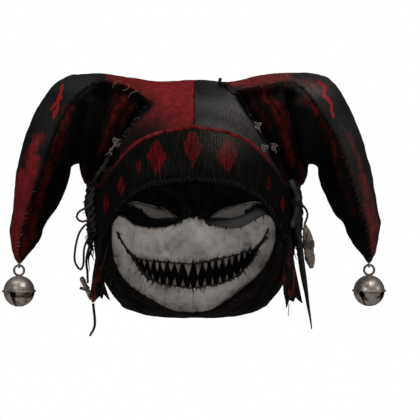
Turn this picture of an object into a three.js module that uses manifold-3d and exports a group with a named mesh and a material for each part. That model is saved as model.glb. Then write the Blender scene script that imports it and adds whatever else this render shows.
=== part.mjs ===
import * as THREE from 'three';
import { mergeVertices } from 'three/addons/utils/BufferGeometryUtils.js';
import Module from 'manifold-3d';

// A full-head jester mask. Millimetres, Z up. The face looks along -Y and +X is the viewer's right.
// The origin is the point inside the top of the hood where the crown of the head sits.

const SIZE = {
  headHalfWidth: 105.5,   // inside of the hood, ear to middle
  headFront: 102,         // inside of the hood, middle to forehead
  headBack: 108,          // inside of the hood, middle to back
  headHeight: 248,        // crown of the head to under the chin
  hatHalfWidth: 206,      // middle seam to the outside of a horn
  hoodWall: 2.5,
  gap: 0.35,              // air between two pieces that lie on each other
  plateWall: 3,
  noseHeight: 6,
  cheekHeight: 3,
  chinHeight: 3.5,
  browWall: 2.6,
  browRidge: 9,
  mouthWall: 2.1,
  toothWall: 2.6,
  toothPitch: 4.4,        // degrees round the face
  crownWall: 2.5,
  knitWall: 3.6,
  hornWall: 2.2,
  pipingRadius: 2.1,
  knotLeft: 7.6,
  knotRight: 6.4,
  laceRadius: 1.1,
  laceKnot: 3.2,
  cordRadius: 0.95,
  stripWall: 2,
  strapWall: 1.8,
  charmRadius: 2.6,
  shardRadius: 5.1,
  rollRadius: 3.2,
  bellRadius: 17.1,
  bellWall: 1.3,
  flange: 1.6,
  slotWidth: 2.2,
  bellHole: 3.4,
  ringRadius: 5.5,
  ringWire: 1.1,
  loopRadius: 2.7,
  loopWire: 0.85,
  buttonRadius: 2.6,
};
const HOOD_OUT = SIZE.hoodWall;
const LAYER_1 = HOOD_OUT + SIZE.gap;
const ROUND = 2.25;       // how square the head's level cuts are

// One row per level of the head: how far down, half width, front and back, as shares of the sizes above.
const HEAD = [
  [0.000, 0.00, 0.00, 0.00],
  [0.008, 0.30, 0.30, 0.30],
  [0.045, 0.60, 0.58, 0.60],
  [0.120, 0.80, 0.77, 0.80],
  [0.240, 0.93, 0.90, 0.93],
  [0.400, 0.99, 0.97, 1.00],
  [0.560, 1.00, 1.00, 1.00],
  [0.700, 1.00, 1.00, 0.97],
  [0.800, 0.95, 0.985, 0.90],
  [0.885, 0.85, 0.95, 0.80],
  [0.945, 0.725, 0.88, 0.60],
  [0.985, 0.56, 0.75, 0.32],
  [1.000, 0.30, 0.58, -0.10],
  [0.995, 0.00, 0.40, -0.3778],
];

// Lines on the head, each a list of [turn in degrees, height as a share of the head's height]; turn 0 is
// the middle of the face.
const PIPING = [[0, -0.2137], [17, -0.2339], [29, -0.2661], [38, -0.3105], [46, -0.371], [55, -0.4315],
  [64, -0.4556], [76, -0.4577], [95, -0.4516], [130, -0.4597], [180, -0.4677]];
const ROLL = [[0, -0.4274], [20, -0.4456], [31, -0.4839], [40, -0.5343], [47, -0.5887], [54, -0.6532],
  [62, -0.7137]];
const PLATE_TOP = [[-47.5, -0.6452], [-45, -0.6048], [-42, -0.5786], [-39, -0.5726], [-36, -0.5847],
  [-30, -0.6129], [-22, -0.625], [-14, -0.621], [-8, -0.6089], [-4, -0.5847], [0, -0.5706], [4, -0.5887],
  [7, -0.6109], [14, -0.621], [21, -0.623], [27, -0.6089], [33, -0.5847], [38, -0.5685], [42, -0.5766],
  [45, -0.6048], [46.5, -0.6371]];
const PLATE_LOW = [[-47.5, -0.6613], [-46, -0.7258], [-44.5, -0.7742], [-42, -0.8226], [-37, -0.8609],
  [-29, -0.8952], [-22, -0.9234], [-12, -0.9536], [0, -0.9657], [8, -0.9556], [15, -0.9335], [22, -0.9032],
  [30, -0.8589], [37, -0.8145], [42, -0.7581], [45, -0.7137], [46.5, -0.6613]];
const EYE_TOP = [[-43, -0.5665], [-40, -0.5575], [-35, -0.529], [-29, -0.5181], [-21, -0.5363],
  [-14, -0.5524], [-7, -0.5766], [-4.2, -0.5819]];
const LENS_TOP = [[-36, -0.5285], [-29, -0.5275], [-21, -0.5435], [-14, -0.5589], [-7, -0.5831]];
const LENS_LOW = [[-36, -0.532], [-32, -0.5403], [-26, -0.5645], [-21, -0.5774], [-15, -0.5879],
  [-7, -0.5895]];
const MOUTH_TOP = [[-36, -0.7097], [-33, -0.7238], [-22, -0.746], [-11, -0.7621], [-5, -0.7681],
  [0, -0.7823], [5, -0.7681], [11, -0.7621], [21, -0.746], [29, -0.7177], [36, -0.6815]];
const MOUTH_LOW = [[-36, -0.7157], [-33, -0.7359], [-29, -0.7621], [-24, -0.7984], [-15, -0.8488],
  [-7, -0.871], [1, -0.877], [9, -0.869], [17, -0.8448], [25, -0.8024], [31, -0.7621], [36, -0.6895]];
const OPEN_TOP = [[-41, -0.5323], [-30, -0.5], [0, -0.5], [30, -0.5], [41, -0.5323]];
const OPEN_LOW = [[-41, -0.7742], [-34, -0.8387], [-22, -0.8911], [0, -0.9274], [22, -0.875],
  [34, -0.8065], [41, -0.7419]];
const RIM = [[0, 0.915], [30, 0.885], [60, 0.815], [90, 0.755], [120, 0.70], [150, 0.665], [180, 0.65]];

// Horn cuts from the middle seam to the tip: outer point x, z, inner point x, z, half depth. x is a share of
// the hat's half width, z of the head's height and the depth of the head's front.
const HORN_LEFT = [
  [0, 0.0242, 0, -0.3952, 1.01], [-0.1942, 0.0181, -0.2039, -0.4032, 0.951],
  [-0.3495, 0.0363, -0.3398, -0.4234, 0.843], [-0.4806, 0.0524, -0.4515, -0.4435, 0.706],
  [-0.6019, 0.0524, -0.5631, -0.4476, 0.588], [-0.7087, 0.0323, -0.6165, -0.371, 0.51],
  [-0.8058, -0.0524, -0.6456, -0.3468, 0.451], [-0.8835, -0.1855, -0.665, -0.3589, 0.412],
  [-0.9345, -0.3185, -0.6675, -0.3911, 0.373], [-0.9612, -0.4597, -0.6845, -0.4476, 0.333],
  [-0.9733, -0.5605, -0.7451, -0.5484, 0.265], [-0.9879, -0.6331, -0.8058, -0.625, 0.206],
  [-0.983, -0.6815, -0.8325, -0.6815, 0.162], [-0.9757, -0.7339, -0.8738, -0.7339, 0.113],
  [-0.9612, -0.7661, -0.9078, -0.7661, 0.064], [-0.9393, -0.7815, -0.9345, -0.7815, 0.008],
];
const HORN_RIGHT = [
  [0, 0.0242, 0, -0.3952, 1.01], [0.1942, 0.0161, 0.2039, -0.4032, 0.951],
  [0.3398, 0.0444, 0.3398, -0.4234, 0.843], [0.4854, 0.0565, 0.4563, -0.4435, 0.706],
  [0.5971, 0.0565, 0.568, -0.4476, 0.588], [0.7039, 0.0363, 0.6189, -0.3669, 0.51],
  [0.7937, -0.0484, 0.6456, -0.3468, 0.451], [0.8689, -0.1774, 0.6602, -0.3589, 0.412],
  [0.9223, -0.3145, 0.6626, -0.3911, 0.373], [0.9563, -0.4516, 0.6796, -0.4476, 0.333],
  [0.983, -0.5544, 0.7403, -0.5544, 0.265], [0.9976, -0.6048, 0.7937, -0.6048, 0.225],
  [0.9879, -0.6492, 0.8155, -0.6492, 0.186], [0.9757, -0.7016, 0.8471, -0.7016, 0.147],
  [0.965, -0.7379, 0.8786, -0.7379, 0.103], [0.949, -0.7661, 0.9126, -0.7661, 0.059],
  [0.9345, -0.7794, 0.9296, -0.7794, 0.008],
];
// The seam between a crown half and its horn, as seen from the front: x as a share of the head's half width,
// z of its height.
const SEAM_LEFT = [[-0.853, 0.2419], [-0.863, 0.0484], [-0.768, -0.0081], [-0.436, -0.0786],
  [-0.592, -0.1633], [-0.716, -0.254], [-0.801, -0.2964], [-0.896, -0.371], [-1.005, -0.4435],
  [-1.118, -0.5645]];
const SEAM_RIGHT = [[0.284, 0.2419], [0.294, 0.0363], [0.341, -0.0403], [0.517, -0.1613], [0.588, -0.1976],
  [0.777, -0.2802], [0.9, -0.3589], [0.986, -0.4234], [1.118, -0.5645]];

const wasm = await Module();
wasm.setup();

// Shapes on the head.

const row = (table, s, column) => {
  const last = table.length - 1;
  const x = Math.min(Math.max(s, 0), 1) * last;
  const i = Math.min(Math.floor(x), last - 1);
  const f = x - i;
  const p1 = table[i][column];
  const p2 = table[i + 1][column];
  const p0 = i > 0 ? table[i - 1][column] : 2 * p1 - p2;
  const p3 = i < last - 1 ? table[i + 2][column] : 2 * p2 - p1;
  return 0.5 * (2 * p1 + (p2 - p0) * f + (2 * p0 - 5 * p1 + 4 * p2 - p3) * f * f
    + (3 * p1 - p0 - 3 * p2 + p3) * f * f * f);
};
const bend = (v, power) => Math.sign(v) * Math.abs(v) ** power;
const rad = (deg) => deg * Math.PI / 180;

// The point of the head at a turn (degrees) and a share s of the way from crown to chin.
const skin = (turn, s) => {
  const wide = row(HEAD, s, 1) * SIZE.headHalfWidth;
  const front = row(HEAD, s, 2) * SIZE.headFront;
  const back = row(HEAD, s, 3) * SIZE.headBack;
  const a = rad(turn);
  return new THREE.Vector3(
    wide * bend(Math.sin(a), 2 / ROUND),
    (back - front) / 2 - (back + front) / 2 * bend(Math.cos(a), 2 / ROUND),
    -row(HEAD, s, 0) * SIZE.headHeight);
};
const facing = (turn, s) => {
  const h = 0.2;
  const k = 0.002;
  const s0 = Math.max(s - k, 0);
  const s1 = Math.min(s + k, 1);
  const mid = Math.min(Math.max(s, 0.004), 0.996);
  const across = skin(turn + h, mid).sub(skin(turn - h, mid));
  const down = skin(turn, s1).sub(skin(turn, s0));
  const n = down.cross(across);
  if (n.length() < 1e-9 || s < 0.004 || s > 0.996) return new THREE.Vector3(0, 0, s < 0.5 ? 1 : -1);
  return n.normalize();
};
const layer = (turn, s, out) => skin(turn, s).addScaledVector(facing(turn, s), out);

// The share s where the head is at height z.
const shareAt = (z) => {
  let low = 0;
  let high = 12 / 13;
  for (let i = 0; i < 40; i++) {
    const mid = (low + high) / 2;
    if (-row(HEAD, mid, 0) * SIZE.headHeight > z) low = mid; else high = mid;
  }
  return (low + high) / 2;
};
// The height of a line at a turn, straight between its points.
const shareAlong = (line, turn) => {
  if (turn <= line[0][0]) return line[0][1];
  for (let i = 1; i < line.length; i++) {
    if (turn <= line[i][0]) {
      const f = (turn - line[i - 1][0]) / (line[i][0] - line[i - 1][0]);
      return line[i - 1][1] + f * (line[i][1] - line[i - 1][1]);
    }
  }
  return line[line.length - 1][1];
};
const along = (line, turn) => shareAlong(line, turn) * SIZE.headHeight;
const both = (line, turn) => along(line, Math.abs(turn));
const smooth = (line, turn, width = 2) => (along(line, turn - width) + 2 * along(line, turn)
  + along(line, turn + width)) / 4;
// A line that is the same on both sides of the face, moved up or down by a distance square to itself.
const beside = (line, distance) => (turn) => {
  const a = Math.abs(turn);
  const here = (t) => (both(line, t - 3) + 2 * both(line, t) + both(line, t + 3)) / 4;
  const slope = (here(a + 2) - here(a - 2)) / (4 * rad(SIZE.headFront));
  return here(a) + distance * Math.hypot(1, slope);
};

// Solids from lists of points.
const solid = (points, faces) => {
  const map = new Map();
  const verts = [];
  const index = points.map((p) => {
    const key = [p.x, p.y, p.z].map((v) => Math.round(v * 500)).join(' ');
    if (!map.has(key)) {
      map.set(key, verts.length / 3);
      verts.push(p.x, p.y, p.z);
    }
    return map.get(key);
  });
  const tris = [];
  let volume = 0;
  for (const f of faces) {
    const t = f.map((i) => index[i]);
    if (t[0] === t[1] || t[1] === t[2] || t[0] === t[2]) continue;
    const [a, b, c] = t.map((i) => new THREE.Vector3(verts[3 * i], verts[3 * i + 1], verts[3 * i + 2]));
    volume += a.dot(b.clone().cross(c));
    tris.push(t);
  }
  const flat = tris.flatMap((t) => (volume > 0 ? t : [t[0], t[2], t[1]]));
  return new wasm.Manifold(new wasm.Mesh({
    numProp: 3, vertProperties: new Float32Array(verts), triVerts: new Uint32Array(flat),
  }));
};

// A sheet between two grids of points, low[i][j] and high[i][j]; round closes it along i.
const slab = (low, high, round = false) => {
  const n = low.length;
  const m = low[0].length;
  const points = [...low.flat(), ...high.flat()];
  const at = (k, i, j) => k * n * m + (i % n) * m + j;
  const faces = [];
  const quad = (a, b, c, d) => faces.push([a, b, c], [a, c, d]);
  for (let i = 0; i < (round ? n : n - 1); i++) {
    for (let j = 0; j < m - 1; j++) {
      quad(at(0, i, j), at(0, i + 1, j), at(0, i + 1, j + 1), at(0, i, j + 1));
      quad(at(1, i, j), at(1, i, j + 1), at(1, i + 1, j + 1), at(1, i + 1, j));
    }
    quad(at(0, i, 0), at(1, i, 0), at(1, i + 1, 0), at(0, i + 1, 0));
    quad(at(0, i, m - 1), at(0, i + 1, m - 1), at(1, i + 1, m - 1), at(1, i, m - 1));
  }
  if (!round) {
    for (let j = 0; j < m - 1; j++) {
      quad(at(0, 0, j), at(0, 0, j + 1), at(1, 0, j + 1), at(1, 0, j));
      quad(at(0, n - 1, j), at(1, n - 1, j), at(1, n - 1, j + 1), at(0, n - 1, j + 1));
    }
  }
  return solid(points, faces);
};

// A patch on the head: columns from turn a to turn b, between two lines, from depth low to depth high.
const patch = (a, b, columns, rows, top, bottom, low, high, taper = 0) => {
  const grids = [low, high].map((depth) => {
    const grid = [];
    for (let i = 0; i <= columns; i++) {
      const turn = a + (b - a) * i / columns;
      const s0 = shareAt(top(turn));
      const s1 = shareAt(bottom(turn));
      const column = [];
      for (let j = 0; j <= rows; j++) {
        const v = j / rows;
        const out = typeof depth === 'number' ? depth : depth(turn, v);
        const edge = depth === high ? taper * Math.max(0, 1 - 6 * Math.min(v, 1 - v)) : 0;
        column.push(layer(turn, s0 + (s1 - s0) * v, out - edge));
      }
      grid.push(column);
    }
    return grid;
  });
  return slab(grids[0], grids[1]);
};

// The head from its crown to the neck rim, one column of points for each turn, grown by out.
const HOOD_TURNS = 28;
const HOOD_LEVELS = 9;
const headGrid = (out) => {
  const grid = [];
  for (let i = 0; i < HOOD_TURNS; i++) {
    let turn = 360 * i / HOOD_TURNS;
    if (turn > 180) turn -= 360;
    const rim = shareAlong(RIM, Math.abs(turn));
    const column = [];
    for (let j = 0; j <= HOOD_LEVELS; j++) {
      column.push(layer(turn, rim * Math.sin(Math.PI / 2 * j / HOOD_LEVELS) ** 0.9, out));
    }
    grid.push(column);
  }
  return grid;
};
// The same, closed over the neck.
const headSolid = (out) => {
  const grid = headGrid(out);
  const points = grid.flat();
  const m = HOOD_LEVELS + 1;
  points.push(new THREE.Vector3(0, 0.1 * SIZE.headFront, -0.8 * SIZE.headHeight));
  const faces = [];
  for (let i = 0; i < HOOD_TURNS; i++) {
    const a = i * m;
    const b = ((i + 1) % HOOD_TURNS) * m;
    for (let j = 0; j < HOOD_LEVELS; j++) faces.push([a + j, b + j, b + j + 1], [a + j, b + j + 1, a + j + 1]);
    faces.push([a + HOOD_LEVELS, b + HOOD_LEVELS, points.length - 1]);
  }
  return solid(points, faces);
};

// Rings of equal length joined one to the next, with flat ends.
const loft = (rings) => {
  const n = rings[0].length;
  const points = rings.flat();
  const faces = [];
  for (let k = 0; k < rings.length - 1; k++) {
    for (let i = 0; i < n; i++) {
      const a = k * n + i;
      const b = k * n + (i + 1) % n;
      faces.push([a, b, b + n], [a, b + n, a + n]);
    }
  }
  for (const [ring, flip] of [[0, true], [rings.length - 1, false]]) {
    const middle = rings[ring].reduce((sum, p) => sum.add(p), new THREE.Vector3()).divideScalar(n);
    points.push(middle);
    for (let i = 0; i < n; i++) {
      const a = ring * n + i;
      const b = ring * n + (i + 1) % n;
      faces.push(flip ? [points.length - 1, b, a] : [points.length - 1, a, b]);
    }
  }
  return solid(points, faces);
};

const fromGeometry = (geometry) => {
  const position = geometry.getAttribute('position');
  const points = [];
  for (let i = 0; i < position.count; i++) points.push(new THREE.Vector3().fromBufferAttribute(position, i));
  const source = geometry.index ? Array.from(geometry.index.array) : points.map((_, i) => i);
  const faces = [];
  for (let i = 0; i < source.length; i += 3) faces.push([source[i], source[i + 1], source[i + 2]]);
  return solid(points, faces);
};

// A tube along points; radius may change along it.
const tube = (path, radius, sides = 8, squash = 1) => {
  const rings = [];
  let side = null;
  path.forEach((p, k) => {
    const ahead = path[Math.min(k + 1, path.length - 1)].clone().sub(path[Math.max(k - 1, 0)]).normalize();
    if (!side) side = new THREE.Vector3(0, 1, 0).cross(ahead).length() > 0.2
      ? new THREE.Vector3(0, 1, 0) : new THREE.Vector3(1, 0, 0);
    side = side.clone().addScaledVector(ahead, -side.dot(ahead)).normalize();
    const other = ahead.clone().cross(side);
    const r = typeof radius === 'number' ? radius : radius(k / (path.length - 1));
    const ring = [];
    for (let i = 0; i < sides; i++) {
      const a = 2 * Math.PI * i / sides;
      ring.push(p.clone().addScaledVector(side, r * squash * Math.cos(a)).addScaledVector(other, r * Math.sin(a)));
    }
    rings.push(ring);
  });
  return loft(rings);
};
const curve = (points, count) => new THREE.CatmullRomCurve3(points, false, 'centripetal').getSpacedPoints(count);
const v3 = (x, y, z) => new THREE.Vector3(x, y, z);

const headLine = (line, a, b, count, out) => {
  const height = beside(line, 0);
  const points = [];
  for (let i = 0; i <= count; i++) {
    const turn = a + (b - a) * i / count;
    points.push(layer(turn, shareAt(height(turn)), out));
  }
  return points;
};
// The piping as a closed loop round the head.
const pipingTube = (radius) => {
  const n = 40;
  const sides = 5;
  const line = headLine(PIPING, -180, 180, n, LAYER_1 + SIZE.pipingRadius + 0.1);
  const points = [];
  const faces = [];
  for (let k = 0; k < n; k++) {
    const ahead = line[(k + 1) % n].clone().sub(line[(k - 1 + n) % n]).normalize();
    const out = v3(line[k].x, line[k].y, 0).normalize();
    const side = out.addScaledVector(ahead, -out.dot(ahead)).normalize();
    const other = ahead.clone().cross(side);
    for (let i = 0; i < sides; i++) {
      const a = 2 * Math.PI * i / sides;
      points.push(line[k].clone().addScaledVector(side, radius * Math.cos(a))
        .addScaledVector(other, radius * Math.sin(a)));
      const b = k * sides + (i + 1) % sides;
      const c = ((k + 1) % n) * sides;
      faces.push([k * sides + i, b, c + (i + 1) % sides], [k * sides + i, c + (i + 1) % sides, c + i]);
    }
  }
  return solid(points, faces);
};

// The hat: a crown in two halves and a horn on each side.

const hornRing = ([x0, z0, x1, z1, depthShare], inset, sides) => {
  const wide = SIZE.hatHalfWidth / 2;
  const high = SIZE.headHeight / 2;
  const depth = depthShare * SIZE.headFront;
  const middle = v3((x0 + x1) * wide, (SIZE.headBack - SIZE.headFront) / 3, (z0 + z1) * high);
  const half = v3((x0 - x1) * wide, 0, (z0 - z1) * high);
  const reach = half.length();
  const k = Math.max(reach - inset, 0.3) / reach;
  const deep = Math.max(depth - inset, 0.3);
  const ring = [];
  for (let i = 0; i < sides; i++) {
    const a = 2 * Math.PI * i / sides;
    const p = middle.clone().addScaledVector(half, k * bend(Math.cos(a), 0.9));
    p.y += deep * bend(Math.sin(a), 0.9);
    ring.push(p);
  }
  return ring;
};
const hornSolid = (table, inset) => {
  const rows = inset > 0 ? table.slice(0, -2) : table;
  const rings = rows.map((cut) => hornRing(cut, inset, 12));
  return loft(rings);
};

// Everything above a line round the head.
const aboveLine = (height) => {
  const rings = [];
  const turns = 40;
  for (const part of ['inner', 'outer', 'top']) {
    const ring = [];
    for (let i = 0; i < turns; i++) {
      let turn = 360 * i / turns;
      if (turn > 180) turn -= 360;
      const s = shareAt(height(turn));
      const p = layer(turn, s, (part === 'inner' ? -0.3 : 0.85) * SIZE.headFront);
      if (part === 'top') p.z = 0.3 * SIZE.headHeight;
      ring.push(p);
    }
    rings.push(ring);
  }
  return loft(rings);
};
// A block seen from the front as a polygon, through the full depth.
const frontBlock = (polygon, depth = 3 * SIZE.headBack) => {
  const shape = new THREE.Shape(polygon.map(([x, z]) => new THREE.Vector2(x, z)));
  const geometry = new THREE.ExtrudeGeometry(shape, { depth, bevelEnabled: false });
  geometry.rotateX(Math.PI / 2);
  geometry.translate(0, depth / 2, 0);
  return fromGeometry(geometry);
};

const headInside = headSolid(LAYER_1);
const crownOuter = headSolid(LAYER_1 + SIZE.crownWall);

const hat = (table, seam, side) => {
  const outer = hornSolid(table, 0).add(crownOuter);
  const inner = hornSolid(table, SIZE.hornWall + 0.1).add(headInside);
  const shell = outer.subtract(inner);
  const { headHalfWidth: w, headHeight: h, hatHalfWidth: reach } = SIZE;
  const line = seam.map(([x, z]) => [x * w, z * h]);
  const low = line[line.length - 1][1];
  const top = line[0][1];
  const air = SIZE.gap / 2;
  const crownSide = frontBlock([...line.map(([x, z]) => [x - side * air, z + 0.05]), [side * air, low],
    [side * air, top]]);
  const hornSide = frontBlock([...line.map(([x, z]) => [x + side * air, z - 0.05]), [side * reach * 1.2, low],
    [side * reach * 1.2, top]]);
  const under = -0.3226 * h;
  const armpit = 0.626 * reach;
  const lowHorn = frontBlock([[side * armpit, under], [side * reach * 1.2, under], [side * reach * 1.2, -h],
    [side * armpit, -h]]);
  const above = aboveLine(beside(PIPING, SIZE.pipingRadius + SIZE.gap));
  const room = pipingTube(SIZE.pipingRadius + 2 * SIZE.gap);
  const crown = shell.intersect(crownSide).intersect(above).subtract(room);
  const horn = shell.intersect(hornSide.intersect(above).add(lowHorn)).subtract(room);
  return { crown, horn, outer: outer.getMesh() };
};
const largest = (m) => m.decompose().sort((a, b) => b.volume() - a.volume())[0];

// The pieces, each placed under its own name.

const group = new THREE.Group();
const colours = {
  red: 0x6e1a20, black: 0x1c1b1b, white: 0xd8d4cf, metal: 0xa9a39b, cord: 0x857a6c, gloss: 0x0a0a0b,
};
const place = (name, manifold, colour) => {
  const mesh = manifold.getMesh();
  const stride = mesh.numProp;
  const position = new Float32Array(mesh.numVert * 3);
  for (let i = 0; i < mesh.numVert; i++) {
    for (let k = 0; k < 3; k++) position[3 * i + k] = mesh.vertProperties[stride * i + k];
  }
  const geometry = new THREE.BufferGeometry();
  geometry.setAttribute('position', new THREE.BufferAttribute(position, 3));
  geometry.setIndex(Array.from(mesh.triVerts));
  const merged = mergeVertices(geometry, 1e-4);
  merged.computeVertexNormals();
  const node = new THREE.Mesh(merged, new THREE.MeshStandardMaterial({ color: colours[colour] }));
  node.name = name;
  group.add(node);
};

// Hood: a shell from the crown of the head to the neck rim, with the face cut out.
const faceCut = patch(-41, 41, 12, 2, (t) => along(OPEN_TOP, t), (t) => along(OPEN_LOW, t), -14, 12);
const hood = slab(headGrid(0), headGrid(HOOD_OUT), true).subtract(faceCut);
place('hood', hood, 'black');

// Face plate with its nose, cheeks and the mouth cut out.
const bump = (turn, z, t0, z0, wt, wz) => Math.exp(-(((turn - t0) / wt) ** 2) - ((z - z0) / wz) ** 2);
const relief = (turn, z) => {
  const at = z / SIZE.headHeight;
  return SIZE.noseHeight * bump(turn, at, 0, -0.677, 5.5, 0.052)
    + SIZE.cheekHeight * (bump(turn, at, -26, -0.685, 12, 0.048) + bump(turn, at, 26, -0.677, 12, 0.048))
    + SIZE.chinHeight * bump(turn, at, 0, -0.94, 14, 0.036);
};
const plateTop = (t) => smooth(PLATE_TOP, t, 1.2);
const plateLow = (t) => smooth(PLATE_LOW, t, 1.2);
const zAt = (top, bottom, turn, v) => top(turn) + (bottom(turn) - top(turn)) * v;
const plateDepth = (extra) => (turn, v) => LAYER_1 + extra + relief(turn, zAt(plateTop, plateLow, turn, v));
const mouthCut = patch(-36, 36, 16, 1, (t) => along(MOUTH_TOP, t), (t) => along(MOUTH_LOW, t), -4, 24);
const plate = patch(-47.3, 46.3, 26, 6, plateTop, plateLow, plateDepth(0), plateDepth(SIZE.plateWall), 0.5)
  .subtract(mouthCut);
place('face_plate', plate, 'white');

// Mouth backing and the two rows of teeth that stand on it.
const mouthTop = (t) => along(MOUTH_TOP, t);
const mouthLow = (t) => along(MOUTH_LOW, t);
place('mouth_panel', patch(-38, 38, 12, 2, (t) => mouthTop(t) + 5, (t) => mouthLow(t) - 5, -0.5 - SIZE.mouthWall, -0.5),
  'gloss');
const saw = (turn, pitch) => 1 - Math.abs(((turn / pitch) % 1 + 1) % 1 * 2 - 1);
const upperTooth = (t) => mouthTop(t) - 1 - saw(t, SIZE.toothPitch) * Math.min(9.5, 0.42 * (mouthTop(t) - mouthLow(t)));
const lowerTooth = (t) => mouthLow(t) + 1 + saw(t + SIZE.toothPitch / 2, SIZE.toothPitch) * Math.min(8, 0.36 * (mouthTop(t) - mouthLow(t)));
const toothBand = (edge, tip, name) => {
  const reach = Math.floor(60 / SIZE.toothPitch) * SIZE.toothPitch / 2;
  const band = patch(-reach, reach, Math.round(4 * reach / SIZE.toothPitch), 1, edge > 0 ? (t) => mouthTop(t) + 3 : lowerTooth,
    edge > 0 ? upperTooth : (t) => mouthLow(t) - 3, -0.15, -0.15 + SIZE.toothWall);
  place(name, band, 'white');
};
toothBand(1, upperTooth, 'upper_teeth');
toothBand(-1, lowerTooth, 'lower_teeth');

// Eyes: a glossy dish under each and a pale screen on it.
const mirror = (line) => line.map(([t, z]) => [-t, z]).reverse();
for (const [side, name] of [[-1, 'left'], [1, 'right']]) {
  const eyeTop = side < 0 ? EYE_TOP : mirror(EYE_TOP);
  const lensTop = side < 0 ? LENS_TOP : mirror(LENS_TOP);
  const lensLow = side < 0 ? LENS_LOW : mirror(LENS_LOW);
  const [a, b] = side < 0 ? [-40.5, -5.1] : [5.1, 40.5];
  const dish = (extra) => (turn, v) => LAYER_1 + 2.6 + extra
    - 2 * Math.sin(Math.PI * v) ** 0.7 * Math.sin(Math.PI * (turn - a) / (b - a)) ** 0.5;
  place(`eye_socket_${name}`, patch(a, b, 10, 3, (t) => along(eyeTop, t) - 0.7, (t) => plateTop(t) + 0.8,
    dish(-2.2), dish(0)), 'gloss');
  const [c, d] = side < 0 ? [-34.3, -7.8] : [7.8, 34.3];
  place(`eye_screen_${name}`, patch(c, d, 8, 2, (t) => along(lensTop, t), (t) => along(lensLow, t),
    LAYER_1 + 3, (turn, v) => LAYER_1 + 4.1 + 1.3 * Math.sin(Math.PI * v)), 'white');
}

// Brow: ribbed knit from the rolled hem down to the eyes.
const browTop = beside(ROLL, -SIZE.rollRadius - 3 * SIZE.gap);
const browLow = (t) => {
  const a = Math.abs(t);
  if (a < 4.7) return plateTop(t) + 2 * SIZE.gap;
  return Math.min(along(EYE_TOP, -a) + 2 * SIZE.gap, browTop(t) - 0.6);
};
const browDepth = (t, v) => LAYER_1 + SIZE.browWall
  + SIZE.browRidge * (0.39 + 0.61 * bump(Math.abs(t), 0, 16, 0, 16, 1)) * v * (1.25 - v * 0.5);
place('brow_panel', patch(-33.6, 33.6, 28, 3, browTop, browLow, LAYER_1, browDepth), 'black');

// Knit band, its rolled hem and the piping above it.
const bandTop = beside(PIPING, -SIZE.pipingRadius - 2 * SIZE.gap);
const bandLow = beside(ROLL, SIZE.rollRadius + 2 * SIZE.gap);
place('knit_band', patch(-63, 63, 30, 2, bandTop, bandLow, LAYER_1, LAYER_1 + SIZE.knitWall, 0.7), 'black');
place('band_roll', tube(headLine(ROLL, -62, 62, 24, LAYER_1 + SIZE.rollRadius + 0.1), SIZE.rollRadius, 6), 'black');
place('piping', pipingTube(SIZE.pipingRadius), 'red');

// Crown halves and horns.
const left = hat(HORN_LEFT, SEAM_LEFT, -1);
const right = hat(HORN_RIGHT, SEAM_RIGHT, 1);

// Ear knots: twisted cloth lumps that hang at the sides of the band.
// A point by shares of the head's half width, front and height.
const onHead = (x, y, z) => v3(x * SIZE.headHalfWidth, y * SIZE.headFront, z * SIZE.headHeight);
const KNOTS = { left: [-1.0405, SIZE.knotLeft], right: [1.033, SIZE.knotRight] };
const knots = {};
const knotSize = (r) => (f) => r * (0.58 + 0.42 * Math.sin(Math.PI * f) + 0.13 * Math.cos(9 * f));
for (const [name, [x, r]] of Object.entries(KNOTS)) {
  const path = curve([[1, -0.353, -0.476], [1.01, -0.382, -0.532], [1, -0.392, -0.597], [0.99, -0.402, -0.645],
    [1, -0.412, -0.685]].map(([k, y, z]) => onHead(k * x, y, z)), 9);
  const knot = tube(path, knotSize(r), 7);
  knots[name] = knot.getMesh();
  place(`ear_knot_${name}`, knot, 'black');
}

// Laces over the seams, pressed on the cloth, with two knots each.
const frontOf = (mesh, x, z) => {
  const { vertProperties: p, triVerts: t, numProp: n } = mesh;
  let front = Infinity;
  for (let i = 0; i < t.length; i += 3) {
    const [a, b, c] = [t[i], t[i + 1], t[i + 2]].map((k) => [p[n * k], p[n * k + 1], p[n * k + 2]]);
    const area = (b[0] - a[0]) * (c[2] - a[2]) - (c[0] - a[0]) * (b[2] - a[2]);
    if (Math.abs(area) < 1e-9) continue;
    const u = ((x - a[0]) * (c[2] - a[2]) - (c[0] - a[0]) * (z - a[2])) / area;
    const w = ((b[0] - a[0]) * (z - a[2]) - (x - a[0]) * (b[2] - a[2])) / area;
    if (u < 0 || w < 0 || u + w > 1) continue;
    front = Math.min(front, a[1] + u * (b[1] - a[1]) + w * (c[1] - a[1]));
  }
  return front;
};
const LACES = {
  left: [[-0.455, -0.0847], [-0.521, -0.125], [-0.592, -0.1633], [-0.654, -0.2097], [-0.716, -0.254],
    [-0.768, -0.2823], [-0.81, -0.3065], [-0.863, -0.3468], [-0.919, -0.3911]],
  right: [[0.417, -0.0927], [0.474, -0.1331], [0.531, -0.1694], [0.588, -0.1976], [0.673, -0.2359],
    [0.758, -0.2722], [0.825, -0.3105], [0.882, -0.3468], [0.919, -0.375]],
};
const LACE_KNOTS = { left: [0.52, 0.64], right: [0.36, 0.66] };
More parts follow.
